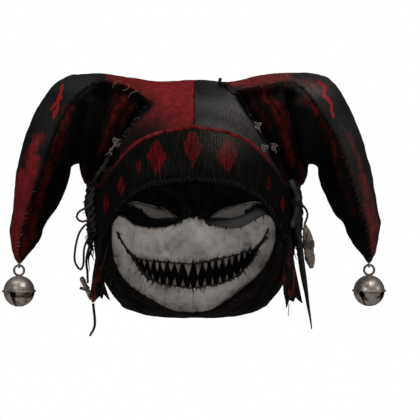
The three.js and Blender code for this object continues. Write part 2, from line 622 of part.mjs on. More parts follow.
for (const [name, line] of Object.entries(LACES)) {
  const cloth = (name === 'left' ? left : right).outer;
  const path = curve(line.map(([xs, zs]) => {
    const x = xs * SIZE.headHalfWidth;
    const z = zs * SIZE.headHeight;
    const step = 3;
    const y = Math.min(frontOf(cloth, x, z), frontOf(cloth, x, z + step), frontOf(cloth, x + step, z),
      frontOf(cloth, x - step, z));
    return v3(x, y - SIZE.laceRadius - 0.8, z);
  }), 16);
  let lace = tube(path, SIZE.laceRadius, 5);
  for (const f of LACE_KNOTS[name]) {
    const at = path[Math.round(f * 16)];
    const ball = new THREE.IcosahedronGeometry(SIZE.laceKnot, 0);
    ball.scale(1.25, 0.7, 0.9);
    ball.translate(at.x, at.y - 0.6, at.z);
    lace = lace.add(fromGeometry(ball));
  }
  place(`lace_${name}`, lace, 'cord');
}
const lacePeak = [[0.379, -0.0645], [0.341, -0.0363], [0.294, -0.004], [0.261, 0.0121]].map(([xs, zs]) => {
  const x = xs * SIZE.headHalfWidth;
  const z = zs * SIZE.headHeight;
  return v3(x, frontOf(right.outer, x, z) - 2.6, z + 2.2);
});
lacePeak.push(lacePeak[3].clone().add(v3(-1.5, -1, 4.8)));
place('lace_end', tube(curve(lacePeak, 8), (f) => 1.6 - 0.7 * f, 5), 'black');

// Torn strips that hang from the ears; the lower edge is cut in points.
const STRIPS = {
  tatter_left: {
    depth: -0.636,
    rows: [[-0.986, -0.882, -0.69], [-1.005, -0.867, -0.766], [-1.019, -0.853, -0.835], [-1.028, -0.848, -0.895]],
    points: [[-1.028, -0.931], [-0.986, -0.903], [-0.957, -0.942], [-0.919, -0.911], [-0.891, -0.935],
      [-0.867, -0.899], [-0.848, -0.919]],
  },
  tatter_right: {
    depth: -0.632,
    rows: [[0.919, 1.043, -0.69], [0.919, 1.052, -0.746], [0.924, 1.066, -0.827], [0.934, 1.085, -0.895]],
    points: [[0.934, -0.931], [0.967, -0.911], [0.991, -0.946], [1.024, -0.907], [1.052, -0.927], [1.09, -0.919]],
  },
};
const flat = (outline, wall, depthShare) => frontBlock(outline.map(([x, z]) => [x * SIZE.headHalfWidth,
  z * SIZE.headHeight]), wall).translate([0, depthShare * SIZE.headFront, 0]);
for (const [name, { depth, rows, points }] of Object.entries(STRIPS)) {
  const outline = [...rows.map(([a, , z]) => [a, z]), ...points, ...rows.map(([, b, z]) => [b, z]).reverse()];
  place(name, flat(outline, SIZE.stripWall, depth), 'black');
}
// One row per level of the strap: middle x, z and half width.
const STRAP = [[1.03, -0.5375, 0.0616], [1.055, -0.6786, 0.0493], [1.111, -0.8496, 0.0341],
  [1.155, -0.9778, 0.0218], [1.179, -1.0569, 0.0085]];
place('strap_right', flat([...STRAP.map(([x, z, w]) => [x - w, z]),
  ...STRAP.map(([x, z, w]) => [x + w, z]).reverse()], SIZE.strapWall, -0.47), 'black');

// Cords and the two small charms that hang on them, in a plane in front of each ear.
const CHARM_LEFT_Y = -0.465;
const CHARM_RIGHT_Y = -0.43;
const CORDS = {
  loop_left: [[-1.083, -0.6089], [-1.13, -0.63], [-1.1659, -0.6573], [-1.1981, -0.7137], [-1.2028, -0.7702],
    [-1.1526, -0.8044], [-1.1185, -0.7855], [-1.1071, -0.7137], [-1.06, -0.66]],
  small_loop_left: [[-1.05, -0.5375], [-1.09, -0.54], [-1.1659, -0.5605], [-1.1801, -0.5847], [-1.09, -0.588]],
  thong_left: [[-1.035, -0.673], [-1.0853, -0.7605], [-1.0758, -0.8185], [-1.0725, -0.8649]],
  tail_left: [[-1.018, -0.9515], [-1.0019, -1.0431], [-1.0521, -1.0915]],
  loop_right: [[1.07, -0.5242], [1.11, -0.535], [1.1422, -0.5565], [1.145, -0.5806], [1.117, -0.6105]],
};
const round = (radius, sides) => new THREE.Shape(Array.from({ length: sides }, (_, i) => new THREE.Vector2(
  radius * Math.cos(2 * Math.PI * i / sides), radius * Math.sin(2 * Math.PI * i / sides))));
for (const [name, line] of Object.entries(CORDS)) {
  const knot = knots[name.endsWith('left') ? 'left' : 'right'];
  const hang = name.endsWith('left') ? CHARM_LEFT_Y : CHARM_RIGHT_Y;
  const path = new THREE.CatmullRomCurve3(line.map(([x, z]) => {
    const p = onHead(x, hang, z);
    p.y = Math.min(p.y, frontOf(knot, p.x, p.z) - SIZE.cordRadius - 1.3 * SIZE.gap);
    return p;
  }), false, 'centripetal');
  const steps = Math.round(path.getLength() / (SIZE.cordRadius * 2 * 2.5));
  place(name, fromGeometry(new THREE.ExtrudeGeometry(round(SIZE.cordRadius, 8), {
    steps, bevelEnabled: false, extrudePath: path,
  })), 'cord');
}
const stick = tube([[-1.1374, -0.8375], [-1.1232, -0.8508], [-1.0474, -0.9234], [-1.0237, -0.9476]]
  .map(([x, z]) => onHead(x, CHARM_LEFT_Y, z)), (f) => SIZE.charmRadius * (1 - 0.58 * f * f), 6);
const bar = tube([onHead(-1.1517, CHARM_LEFT_Y, -0.8831), onHead(-1.0332, CHARM_LEFT_Y, -0.9032)], 0.73 * SIZE.charmRadius, 6);
place('charm_left', stick.add(bar), 'cord');
// One row per level of the shard: x, z and how thick.
const SHARD = [[1.1185, -0.6149, 0.31], [1.128, -0.6371, 0.59], [1.1412, -0.6774, 0.82], [1.145, -0.6855, 1],
  [1.1526, -0.7097, 1], [1.1555, -0.7177, 0.78], [1.1659, -0.7581, 0.84], [1.1877, -0.8044, 0.14]];
place('charm_right', tube(SHARD.map(([x, z]) => onHead(x, CHARM_RIGHT_Y, z)),
  (f) => SIZE.shardRadius * SHARD[Math.round(f * 7)][2], 7, 0.6), 'cord');

// Bells, their rings, and the loops on the horn tips.
// Each hangs from its horn's tip; the ring passes through the loop.
const STEPS = 8;
const air = SIZE.gap;
const bell = (x, ringTop) => {
  const r = SIZE.bellRadius;
  const middle = ringTop - SIZE.ringRadius * 2 - SIZE.ringWire - r + 0.9;
  const profile = [];
  for (let i = 0; i <= STEPS; i++) {
    const a = Math.PI / 2 - Math.PI * i / STEPS;
    if (i === STEPS / 2) {
      profile.push([r, 1.2], [r + SIZE.flange, 0.9], [r + SIZE.flange, -0.9], [r, -1.2]);
    } else {
      profile.push([Math.max(r * Math.cos(a), 0), r * Math.sin(a)]);
    }
  }
  for (let i = STEPS / 2; i >= 0; i--) {
    const a = Math.PI / 2 - 2 * Math.PI * i / STEPS;
    profile.push([Math.max((r - SIZE.bellWall) * Math.cos(a), 0), (r - SIZE.bellWall) * Math.sin(a)]);
  }
  const lathe = new THREE.LatheGeometry(profile.map(([a, b]) => new THREE.Vector2(a, b)), 12);
  lathe.rotateX(Math.PI / 2);
  lathe.translate(x, 0, middle);
  let body = fromGeometry(lathe);
  for (const turn of [-14, 46]) {
    const cut = new THREE.BoxGeometry(2 * r * 0.985, SIZE.slotWidth, r).translate(0, 0, -0.72 * r);
    cut.rotateZ(rad(turn - 90));
    cut.translate(x, 0, middle);
    body = body.subtract(fromGeometry(cut));
    const hole = new THREE.CylinderGeometry(SIZE.bellHole, SIZE.bellHole, 3 * r, 7);
    hole.rotateZ(Math.PI / 2);
    hole.translate(0, 0, -0.2 * r);
    hole.rotateZ(rad(turn - 90));
    hole.translate(x, 0, middle);
    body = body.subtract(fromGeometry(hole));
  }
  const ring = new THREE.TorusGeometry(SIZE.ringRadius, SIZE.ringWire, 5, 14);
  ring.rotateX(Math.PI / 2);
  ring.translate(x, 0, ringTop - SIZE.ringRadius);
  return body.add(fromGeometry(ring));
};
for (const [name, hatSide, table] of [['left', left, HORN_LEFT], ['right', right, HORN_RIGHT]]) {
  const [x0, z0, x1] = table[table.length - 1];
  const tip = v3((x0 + x1) / 2 * SIZE.hatHalfWidth, 0, z0 * SIZE.headHeight);
  const ringTop = tip.z + air - 2 * SIZE.loopRadius + SIZE.ringWire + air;
  const loopMiddle = tip.z + air - SIZE.loopRadius - SIZE.loopWire;
  place(`bell_${name}`, bell(tip.x, ringTop), 'metal');
  const loop = new THREE.TorusGeometry(SIZE.loopRadius, SIZE.loopWire, 5, 10);
  loop.rotateY(Math.PI / 2);
  loop.translate(tip.x, 0, loopMiddle);
  // The loop's stem passes through the horn's tip and ends in a button inside it.
  const stemLine = (start, end) => [v3(tip.x, 0, start), v3(tip.x, 2, tip.z + 6.8), v3(tip.x, 2, end)];
  const stem = tube(stemLine(tip.z - SIZE.loopWire, tip.z + 9.8),
    (f) => (f > 0.9 ? SIZE.buttonRadius : 1.2), 6);
  place(`bell_loop_${name}`, fromGeometry(loop).add(stem), 'metal');
  const room = tube(stemLine(loopMiddle - 1, tip.z + 10.8), SIZE.buttonRadius + 2 * air, 8);
  hatSide.horn = largest(hatSide.horn.subtract(room));
}
place('crown_left', largest(left.crown), 'red');
place('crown_right', largest(right.crown), 'black');
place('horn_left', left.horn, 'red');
place('horn_right', right.horn, 'black');

export default group;
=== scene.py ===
# %% [markdown]
# # A jester mask, dressed for the camera
# The solids of the mask come in as a fixed frame. Each cell below makes one piece of the real object
# (hat, knitted band, painted face, eyes, teeth, bells, cords) as a fine mesh in the same place, and gives it
# a finish. Lengths are in metres and the face looks along -Y.

import bpy
import math
import numpy as np
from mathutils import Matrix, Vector, noise
from mathutils.bvhtree import BVHTree


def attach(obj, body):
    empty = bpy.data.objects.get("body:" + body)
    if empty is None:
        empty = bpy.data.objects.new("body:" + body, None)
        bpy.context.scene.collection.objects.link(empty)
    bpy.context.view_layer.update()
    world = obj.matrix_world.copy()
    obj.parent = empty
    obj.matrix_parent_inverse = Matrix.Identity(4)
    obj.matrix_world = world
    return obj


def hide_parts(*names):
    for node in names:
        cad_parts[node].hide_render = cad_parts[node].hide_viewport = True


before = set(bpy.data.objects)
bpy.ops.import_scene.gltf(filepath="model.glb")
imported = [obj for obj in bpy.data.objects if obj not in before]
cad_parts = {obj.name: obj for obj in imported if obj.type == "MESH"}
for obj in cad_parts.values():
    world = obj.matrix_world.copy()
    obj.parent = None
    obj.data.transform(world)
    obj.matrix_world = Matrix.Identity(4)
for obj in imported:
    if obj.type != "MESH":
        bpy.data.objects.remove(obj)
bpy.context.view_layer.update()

# %% [markdown]
# ## The camera
# The mask was photographed from straight in front with a long lens. A camera 1.5 m away looks level along
# +Y, and one step of the picture's 420 is 1.1 mm at the middle of the head. `seen` turns a place in the
# picture (column, row) into a point at a given depth, so a detail can be put where it is seen.

# %% Camera
EYE = Vector((0.017, -1.5, -0.1365))
AWAY = 1.5
STEP = 0.0011
MIDDLE = 210
SENSOR = 36

camera = bpy.data.objects.new("camera", bpy.data.cameras.new("camera"))
camera.location = EYE
camera.rotation_euler = (math.radians(90), 0, 0)
camera.data.sensor_width = SENSOR
camera.data.lens = SENSOR * AWAY / (2 * MIDDLE * STEP)
bpy.context.scene.collection.objects.link(camera)
bpy.context.scene.camera = camera


def seen_points(column, row, depth):
    grow = (depth - EYE.y) / AWAY
    right, down = (column - MIDDLE) * STEP * grow, (row - MIDDLE) * STEP * grow
    return np.stack([EYE.x + right, depth + 0 * column, EYE.z - down], -1)


def seen(column, row, depth):
    return Vector(seen_points(column, row, depth))


def ray_to(column, row):
    return (seen(column, row, 0) - EYE).normalized()


def picture(points):
    """Columns and rows of points, with the back of the mask folded onto its front."""
    grow = AWAY / (AWAY - np.abs(points[..., 1]))
    return MIDDLE + (points[..., 0] - EYE.x) / STEP * grow, MIDDLE - (points[..., 2] - EYE.z) / STEP * grow


print("lens", round(camera.data.lens, 2), "mm")

# %% [markdown]
# ## Finishes: small helpers for shader nodes
# Every finish is a node tree. The helpers only save typing: `Tree.add` makes a node and wires or sets its
# sockets, and the short methods stand for the nodes that come back most often.


# %% Node helpers
class Tree:
    def __init__(self, tree):
        self.tree = tree
        self.tree.nodes.clear()

    def add(self, kind, inputs=None, **settings):
        node = self.tree.nodes.new(kind)
        for name, value in settings.items():
            setattr(node, name, value)
        for name, value in (inputs or {}).items():
            self.put(node.inputs[name], value)
        return node

    def put(self, socket, value):
        if isinstance(value, bpy.types.NodeSocket):
            self.tree.links.new(value, socket)
        else:
            socket.default_value = value

    def math(self, operation, a, b=0.0, c=0.0):
        return self.add("ShaderNodeMath", {0: a, 1: b, 2: c}, operation=operation).outputs[0]

    def mix(self, factor, a, b):
        return self.add("ShaderNodeMix", {0: factor, 6: a, 7: b}, data_type="RGBA").outputs[2]

    def between(self, value, low, high, start=0.0, end=1.0, smooth=True):
        values = {0: value, 1: low, 2: high, 3: start, 4: end}
        kind = "SMOOTHSTEP" if smooth else "LINEAR"
        return self.add("ShaderNodeMapRange", values, interpolation_type=kind).outputs[0]

    def mark(self, name):
        return self.add("ShaderNodeAttribute", attribute_name=name).outputs["Fac"]

    def place(self, stretch=(1, 1, 1)):
        where = self.add("ShaderNodeTexCoord").outputs["Object"]
        return self.add("ShaderNodeMapping", {"Vector": where, "Scale": stretch}).outputs[0]

    def noise(self, scale, detail=3.0, rough=0.5, where=None):
        inputs = {"Scale": scale, "Detail": detail, "Roughness": rough}
        if where is not None:
            inputs["Vector"] = where
        return self.add("ShaderNodeTexNoise", inputs).outputs[0]

    def group(self, group, **inputs):
        node = self.add("ShaderNodeGroup", node_tree=group)
        for name, value in inputs.items():
            self.put(node.inputs[name.replace("_", " ")], value)
        return node.outputs


def make_group(name, inputs, outputs, build):
    tree = bpy.data.node_groups.new(name, "ShaderNodeTree")
    for label, (kind, value) in inputs.items():
        socket = tree.interface.new_socket(label, in_out="INPUT", socket_type=kind)
        socket.default_value = value
    for label, kind in outputs.items():
        tree.interface.new_socket(label, in_out="OUTPUT", socket_type=kind)
    made = Tree(tree)
    source = made.add("NodeGroupInput").outputs
    sink = made.add("NodeGroupOutput").inputs
    build(made, source, sink)
    return tree


FLOAT, COLOUR = "NodeSocketFloat", "NodeSocketColor"

# %% [markdown]
# ## Effects that several finishes share
# Old cloth shows three things at once: a brushed nap of fine fibres, a mottled tone where dye and dirt
# have settled unevenly, and dusty wear. Each is one node group, so every material places it with its own
# scale and strength.


# %% Nap, mottle and wear groups
FIBRE = (1, 1, 0.22)


def build_nap(t, source, sink):
    fine = t.noise(source["Scale"], 5.0, 0.75, t.place())
    long = t.noise(source["Scale"], 3.0, 0.5, t.place(FIBRE))
    both = t.math("ADD", t.math("MULTIPLY", fine, 0.6), t.math("MULTIPLY", long, 0.4))
    t.put(sink["Value"], t.between(both, 0.34, 0.66))
    t.put(sink["Height"], t.math("MULTIPLY", both, source["Depth"]))


def build_mottle(t, source, sink):
    value = t.between(t.noise(source["Scale"], 6.0, 0.62, t.place()), 0.36, 0.64)
    t.put(sink["Colour"], t.mix(value, source["Dark"], source["Light"]))


def build_wear(t, source, sink):
    spots = t.noise(source["Scale"], 9.0, 0.8, t.place())
    edge = t.math("SUBTRACT", 1.0, source["Amount"])
    t.put(sink["Mask"], t.between(spots, t.math("MULTIPLY_ADD", edge, 0.3, 0.42), 0.78))


def build_weave(t, source, sink):
    part = t.add("ShaderNodeSeparateXYZ", {0: t.place()}).outputs
    turn = t.math("MULTIPLY", t.math("ARCTAN2", part["X"], part["Y"]), 0.105)
    across = t.math("SINE", t.math("MULTIPLY", turn, source["Scale"]))
    down = t.math("SINE", t.math("MULTIPLY", part["Z"], source["Scale"]))
    t.put(sink["Height"], t.math("MULTIPLY", t.math("MULTIPLY", across, down), source["Depth"]))


SCALE, DEPTH = {"Scale": (FLOAT, 900.0)}, {"Depth": (FLOAT, 1.0)}
TONES = {"Dark": (COLOUR, (0, 0, 0, 1)), "Light": (COLOUR, (1, 1, 1, 1))}
nap = make_group("nap", SCALE | DEPTH, {"Value": FLOAT, "Height": FLOAT}, build_nap)
mottle = make_group("mottle", SCALE | TONES, {"Colour": COLOUR}, build_mottle)
wear = make_group("wear", SCALE | {"Amount": (FLOAT, 0.5)}, {"Mask": FLOAT}, build_wear)
weave = make_group("weave", SCALE | DEPTH, {"Height": FLOAT}, build_weave)
print("effects", [g.name for g in bpy.data.node_groups])

# %% [markdown]
# ## Starting a finish
# Nearly all real surfaces can be made with the one Principled shader. `finish` makes a material with it and
# sets the few values that are even all over, and `rgb` lets a colour be given as it is picked on a screen.


# %% Start of a material
def finish(name, specular=0.3, metallic=0.0, roughness=0.7):
    """A new material, its tree and its Principled shader."""
    material = bpy.data.materials.new(name)
    material.use_nodes = True
    t = Tree(material.node_tree)
    values = {"Roughness": roughness, "Specular IOR Level": specular, "Metallic": metallic}
    shader = t.add("ShaderNodeBsdfPrincipled", values)
    t.add("ShaderNodeOutputMaterial", {"Surface": shader.outputs[0]})
    return material, t, shader.inputs


def bump(t, inputs, height, distance, strength=1.0):
    node = t.add("ShaderNodeBump", {"Height": height, "Distance": distance, "Strength": strength})
    t.put(inputs["Normal"], node.outputs[0])


def rgb(red, green, blue):
    """A colour as it is picked on screen, 0 to 255, in the linear values that a shader takes."""
    screen = [value / 255 for value in (red, green, blue)]
    return (*[((v + 0.055) / 1.055) ** 2.4 if v > 0.04 else v / 12.92 for v in screen], 1)


# %% [markdown]
# ## Worn dyed cloth
# The hat is red and black felted cloth. Where each dye goes is decided on the mesh, as a mark from 0 to 1
# on every point; the shader breaks the border of the mark up with noise, so that the red looks brushed on.
# Another mark darkens the seams and paints shade into folds and pockets, and a third lays on grey: partly
# rubbed cloth, partly a painted sheen.

# %% Hat cloth
def felt(name, specular, rough, sheen_rough, dim_red, full_red):
    """Red and black felt; marks say what is red, torn bright, grey (rubbed or painted sheen) or in painted
    shade.
    """
    material, t, inputs = finish(name, specular)
    grain = t.group(nap, Scale=620.0, Depth=1.0)
    blacks = t.group(mottle, Scale=46.0, Dark=rgb(4, 4, 4), Light=rgb(14, 12, 12))
    reds = t.group(mottle, Scale=150.0, Dark=dim_red, Light=full_red)
    streaks = t.noise(210.0, 7.0, 0.75, t.place(FIBRE))
    scatter = t.math("SUBTRACT", streaks, 0.5)
    edge = t.math("ADD", t.mark("red"), t.math("MULTIPLY", scatter, 1.9))
    colour = t.mix(t.between(edge, 0.22, 1.0), blacks["Colour"], reds["Colour"])
    # Grey laid on by a mark: partly rubbed cloth, partly a painted sheen.
    wear_and_sheen = t.math("MULTIPLY", t.mark("wear_and_sheen"), t.between(grain["Value"], 0.1, 0.9, 0.3, 0.8))
    colour = t.mix(t.math("MULTIPLY", wear_and_sheen, 0.6), colour, rgb(112, 104, 102))
    torn = t.math("ADD", t.mark("bright"), t.math("MULTIPLY", scatter, 0.9))
    colour = t.mix(t.between(torn, 0.42, 0.58), colour, rgb(178, 18, 21))
    colour = t.mix(t.between(grain["Value"], 0.0, 1.0, 0.32, 0.0), colour, rgb(5, 4, 4))
    t.put(inputs["Base Color"], t.mix(t.mark("shade"), colour, rgb(2, 1, 1)))
    t.put(inputs["Roughness"], t.between(t.mark("gloss"), 0.0, 1.0, rough, sheen_rough, False))
    bump(t, inputs, t.math("ADD", grain["Height"], t.math("MULTIPLY", streaks, 0.7)), 0.0011, 0.7)
    return material


outer_felt = felt("outer_felt", 0.24, 0.8, 0.55, rgb(124, 18, 22), rgb(158, 28, 32))
satin_felt = felt("satin_felt", 0.4, 0.75, 0.4, rgb(92, 14, 17), rgb(150, 28, 32))
# The turned-in sides of the horns get a copy of the felt with dimmer reds: painted shade.
shaded_fold_felt = felt("shaded_fold_felt", 0.05, 0.9, 0.7, rgb(52, 9, 11), rgb(112, 20, 23))
rag_felt = felt("rag_felt", 0.14, 0.85, 0.6, rgb(84, 12, 15), rgb(140, 24, 28))

# %% [markdown]
# ## Knit, hood cloth, painted plastic, metal and cord
# The knit is black wool with the diamonds knitted in red. The painted face is the one pale surface: its
# paint is dirty, scratched and drawn over with ink, and darkened with painted shade; each of those is a mark on
# the mesh.

# %% Knit
def wool(name, specular):
    """Black wool; marks say what is red, grey (lint or painted sheen), glossy or in painted shade."""
    material, t, inputs = finish(name, specular)
    grain = t.group(nap, Scale=1300.0, Depth=1.0)
    black = t.group(mottle, Scale=60.0, Dark=rgb(3, 3, 3), Light=rgb(12, 11, 10))
    threads = t.noise(420.0, 4.0, 0.7, t.place((1, 1, 0.12)))
    edge = t.math("ADD", t.mark("red"), t.math("MULTIPLY", t.math("SUBTRACT", threads, 0.5), 0.8))
    dyed = t.mix(t.between(threads, 0.35, 0.65), rgb(34, 4, 6), rgb(112, 12, 16))
    plain = t.mix(t.between(threads, 0.47, 0.66, 0.0, 0.8), black["Colour"], rgb(34, 30, 28))
    colour = t.mix(t.between(edge, 0.42, 0.58), plain, dyed)
    # Grey from one mark: partly lint, partly a painted sheen.
    lint_and_sheen = t.math("MULTIPLY", t.mark("wear_and_sheen"), t.between(grain["Value"], 0.2, 0.9))
    colour = t.mix(lint_and_sheen, colour, rgb(92, 84, 80))
    t.put(inputs["Base Color"], t.mix(t.mark("shade"), colour, rgb(2, 1, 1)))
    t.put(inputs["Roughness"], t.between(t.mark("gloss"), 0.0, 1.0, 0.85, 0.5, False))
    bump(t, inputs, grain["Height"], 0.0008, 0.8)
    return material


knit = wool("knit", 0.1)
brow_wool = wool("brow_wool", 0.03)

# %% Hood and brow cloth
hood_cloth, t, inputs = finish("hood_cloth", specular=0.05, roughness=0.8)
grain = t.group(nap, Scale=700.0, Depth=1.0)
dull = t.group(mottle, Scale=45.0, Dark=rgb(5, 4, 4), Light=rgb(19, 14, 12))
brown = t.group(wear, Scale=120.0, Amount=0.5)
# Grey from one mark: partly worn cloth, partly a painted sheen.
wear_and_sheen = t.math("MULTIPLY", t.mark("wear_and_sheen"), t.between(grain["Value"], 0.2, 0.9))
colour = t.mix(t.math("MULTIPLY", brown["Mask"], 0.6), dull["Colour"], rgb(40, 27, 22))
colour = t.mix(wear_and_sheen, colour, rgb(74, 64, 60))
t.put(inputs["Base Color"], t.mix(t.mark("shade"), colour, rgb(2, 2, 2)))
woven = t.group(weave, Scale=3900.0, Depth=0.5)["Height"]
bump(t, inputs, t.math("ADD", grain["Height"], woven), 0.0007, 0.7)

# %% Painted face
face_paint, t, inputs = finish("face_paint", specular=0.22)
pores = t.noise(1500.0, 4.0, 0.75)
cloudy = t.group(mottle, Scale=34.0, Dark=rgb(162, 154, 148), Light=rgb(190, 184, 178))
brown = t.group(wear, Scale=110.0, Amount=0.6)
flecks = t.between(t.noise(800.0, 6.0, 0.8), 0.6, 0.68)
scratched = t.between(t.noise(420.0, 6.0, 0.8, t.place((1, 1, 0.3))), 0.59, 0.68)
colour = t.mix(t.between(pores, 0.25, 0.75, 0.3, 0.0), cloudy["Colour"], rgb(92, 84, 78))
colour = t.mix(t.math("MULTIPLY", brown["Mask"], 0.45), colour, rgb(112, 88, 74))
colour = t.mix(t.math("MULTIPLY", flecks, 0.55), colour, rgb(66, 54, 49))
colour = t.mix(t.math("MULTIPLY", scratched, 0.4), colour, rgb(74, 62, 56))
# One mark darkens the paint to brown grey: dirt, and painted shade.
colour = t.mix(t.mark("dirt_and_shade"), colour, rgb(46, 38, 36))
ragged = t.math("MULTIPLY", t.math("SUBTRACT", t.noise(900.0, 4.0, 0.7), 0.5), 0.75)
strokes = t.math("ADD", t.mark("ink"), ragged)
t.put(inputs["Base Color"], t.mix(t.between(strokes, 0.36, 0.62), colour, rgb(7, 5, 5)))
t.put(inputs["Roughness"], t.between(pores, 0.3, 0.7, 0.5, 0.72))
height = t.math("SUBTRACT", t.math("MULTIPLY", pores, 0.35), t.math("MULTIPLY", t.mark("ink"), 0.8))
bump(t, inputs, height, 0.0006, 0.6)

# %% [markdown]
# ## Black paint and the old metal
# The dishes of the eyes and the back of the mouth are black paint, with a grey sheen painted on the right
# dish. The bells are worn plated brass: a scuffed bright metal, with brown tarnish where hands don't rub it.


# %% Black paint
def black_paint(name, specular):
    """Black paint, smeared, where a mark paints a grey sheen on it."""
    material, t, inputs = finish(name, specular)
    smear = t.noise(90.0, 5.0, 0.7)
    colour = t.mix(t.between(smear, 0.4, 0.7), rgb(2, 2, 2), rgb(6, 5, 5))
    # A mark paints a grey sheen on the black.
    painted_sheen = t.math("MULTIPLY", t.mark("painted_sheen"), t.between(t.noise(700.0, 5.0, 0.7), 0.2, 0.6, 0.6, 1.0))
    t.put(inputs["Base Color"], t.mix(painted_sheen, colour, rgb(98, 98, 97)))
    t.put(inputs["Roughness"], t.between(smear, 0.35, 0.7, 0.4, 0.6))
    bump(t, inputs, t.noise(500.0, 4.0), 0.0004, 0.3)
    return material


gloss = black_paint("gloss_black", 0.12)
mouth_black = black_paint("mouth_black", 0.03)

# %% Old metal
metal, t, inputs = finish("old_metal", specular=0.5, metallic=0.8)
scuff = t.noise(210.0, 8.0, 0.78, t.place((1, 1, 0.6)))
tarnish = t.group(wear, Scale=70.0, Amount=0.75)
colour = t.mix(t.between(scuff, 0.35, 0.65), rgb(166, 153, 142), rgb(224, 216, 208))
colour = t.mix(t.math("MULTIPLY", tarnish["Mask"], 0.6), colour, rgb(92, 64, 50))
t.put(inputs["Base Color"], t.mix(t.mark("stain"), colour, rgb(68, 46, 35)))
dulled = t.math("MULTIPLY", t.mark("stain"), 0.25)
t.put(inputs["Roughness"], t.math("ADD", t.between(scuff, 0.3, 0.7, 0.5, 0.36), dulled))
bump(t, inputs, scuff, 0.0004, 0.12)

# %% [markdown]
# ## Finishes of two tones
# Teeth, bone, thread, leather and the eye screens each go between a dark and a light tone with one noise,
# which sets their roughness and relief too. One function makes them all, and a mark adds a third tone.


# %% Teeth, bone, leather, screens and thread
def two_tone(name, specular, grain, tones, spread, rough, relief, stretch=None, third=None, fine=None):
    """A finish between two tones, given as a noise, its spread, and the roughness at both ends."""
    material, t, inputs = finish(name, specular)
    pattern = t.noise(*grain, t.place((1, 1, stretch)) if stretch else None)
    colour = t.mix(t.between(pattern, *spread), *tones)
    if third:
        colour = t.mix(t.mark(third[0]), colour, third[1])
    t.put(inputs["Base Color"], colour)
    t.put(inputs["Roughness"], t.between(pattern, 0.3, 0.7, *rough))
    bump(t, inputs, t.noise(fine, 3.0) if fine else pattern, *relief)
    return material


screen = two_tone("eye_screen", 0.05, (1500.0, 5.0, 0.85), (rgb(34, 32, 30), rgb(128, 124, 118)),
                  (0.38, 0.62), (0.9, 0.6), (0.0006, 0.8), None, ("shade", rgb(2, 2, 2)))
tooth = two_tone("tooth", 0.3, (260.0, 6.0, 0.7), (rgb(92, 78, 66), rgb(176, 160, 142)),
                 (0.3, 0.7), (0.4, 0.65), (0.0005, 0.5), 0.3, ("shade", rgb(16, 11, 9)))
leather = two_tone("strip_leather", 0.2, (300.0, 6.0, 0.7), (rgb(8, 7, 7), rgb(34, 30, 29)),
                   (0.38, 0.62), (0.6, 0.42), (0.0008, 0.6), 0.25, ("red", rgb(70, 12, 14)))
bone = two_tone("weathered_bone", 0.3, (420.0, 8.0, 0.8), (rgb(52, 42, 36), rgb(160, 146, 132)),
                (0.34, 0.66), (0.85, 0.55), (0.0009, 0.8), 0.5, ("shade", rgb(22, 17, 14)))


def yarn(name, specular, fine, dark, light):
    """Dirty twisted thread or cord between two tones."""
    tones = (rgb(*dark), rgb(*light))
    return two_tone(name, specular, (440.0, 6.0, 0.75), tones, (0.35, 0.65), (0.95, 0.72), (0.0005, 0.7),
                    fine=fine)


cord_twist = yarn("cord_twist", 0.12, 1800.0, (20, 15, 13), (88, 76, 67))
hem_thread = yarn("hem_thread", 0.1, 2200.0, (8, 7, 6), (44, 38, 34))
overlock = yarn("overlock", 0.1, 2200.0, (9, 8, 7), (56, 50, 45))
rag_twist = yarn("rag_twist", 0.15, 1500.0, (8, 7, 7), (84, 75, 69))
thread = yarn("pale_thread", 0.25, 2500.0, (74, 65, 59), (150, 141, 132))
red_thread = yarn("red_thread", 0.25, 2500.0, (72, 14, 16), (138, 48, 50))
print("finishes", len(bpy.data.materials))

# %% [markdown]
# ## Meshes from arrays
# All pieces are built from arrays of points. `piece` turns points and faces into an object, stores the
# marks, gives it its finish and lets it ride on a body of the frame; `grid` does this for a sheet of
# columns and rows, and `rope` for a tube along a line.


# %% Mesh helpers
def piece(name, points, faces, material, replaces=(), slot=None, body="mask", marks=None, wall=0.0):
    mesh = bpy.data.meshes.new(name)
    mesh.from_pydata([tuple(p) for p in np.asarray(points)], [], [tuple(f) for f in faces])
    mesh.polygons.foreach_set("use_smooth", [True] * len(mesh.polygons))
    for label, values in (marks or {}).items():
        mark = mesh.attributes.new(label, "FLOAT", "POINT")
        mark.data.foreach_set("value", (np.ones(len(points)) * np.ravel(values)).astype(np.float32))
    mesh.materials.append(material)
    mesh.update()
    made = bpy.data.objects.new(name, mesh)
    bpy.context.scene.collection.objects.link(made)
    if wall:
        thick = made.modifiers.new("wall", "SOLIDIFY")
        thick.thickness = wall
        thick.offset = -1
    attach(made, body)
    if replaces:
        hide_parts(*replaces)
    return made


def tree_of(made):
    """A piece as a form that rays can be cast on."""
    corners = [tuple(v.co) for v in made.data.vertices]
    return BVHTree.FromPolygons(corners, [tuple(p.vertices) for p in made.data.polygons])


def grid_faces(columns, rows, wrap=False, tube=False):
    """Faces between columns of points, where wrap joins the last column on and tube the last row."""
    first, last = np.arange(columns if wrap else columns - 1), np.arange(rows if tube else rows - 1)
    i, j = np.meshgrid(first, last, indexing="ij")
    a, b, after = i * rows, (i + 1) % columns * rows, (j + 1) % rows
    return np.stack([a + j, b + j, b + after, a + after], -1).reshape(-1, 4)


def closed_tube(rings):
    """Points and faces of a tube of rings, closed at each end by a fan round one more point."""
    n, m, _ = rings.shape
    points = np.vstack([rings.reshape(-1, 3), rings[0].mean(0), rings[-1].mean(0)])
    faces = list(grid_faces(n, m, tube=True))
    faces += [(n * m, i, (i + 1) % m) for i in range(m)]
    faces += [(n * m + 1, (n - 1) * m + (i + 1) % m, (n - 1) * m + i) for i in range(m)]
    return points, faces


def run_of(line):
    """How far along a line each of its points is."""
    return np.concatenate([[0], np.cumsum(np.linalg.norm(np.diff(line, axis=0), axis=1))])


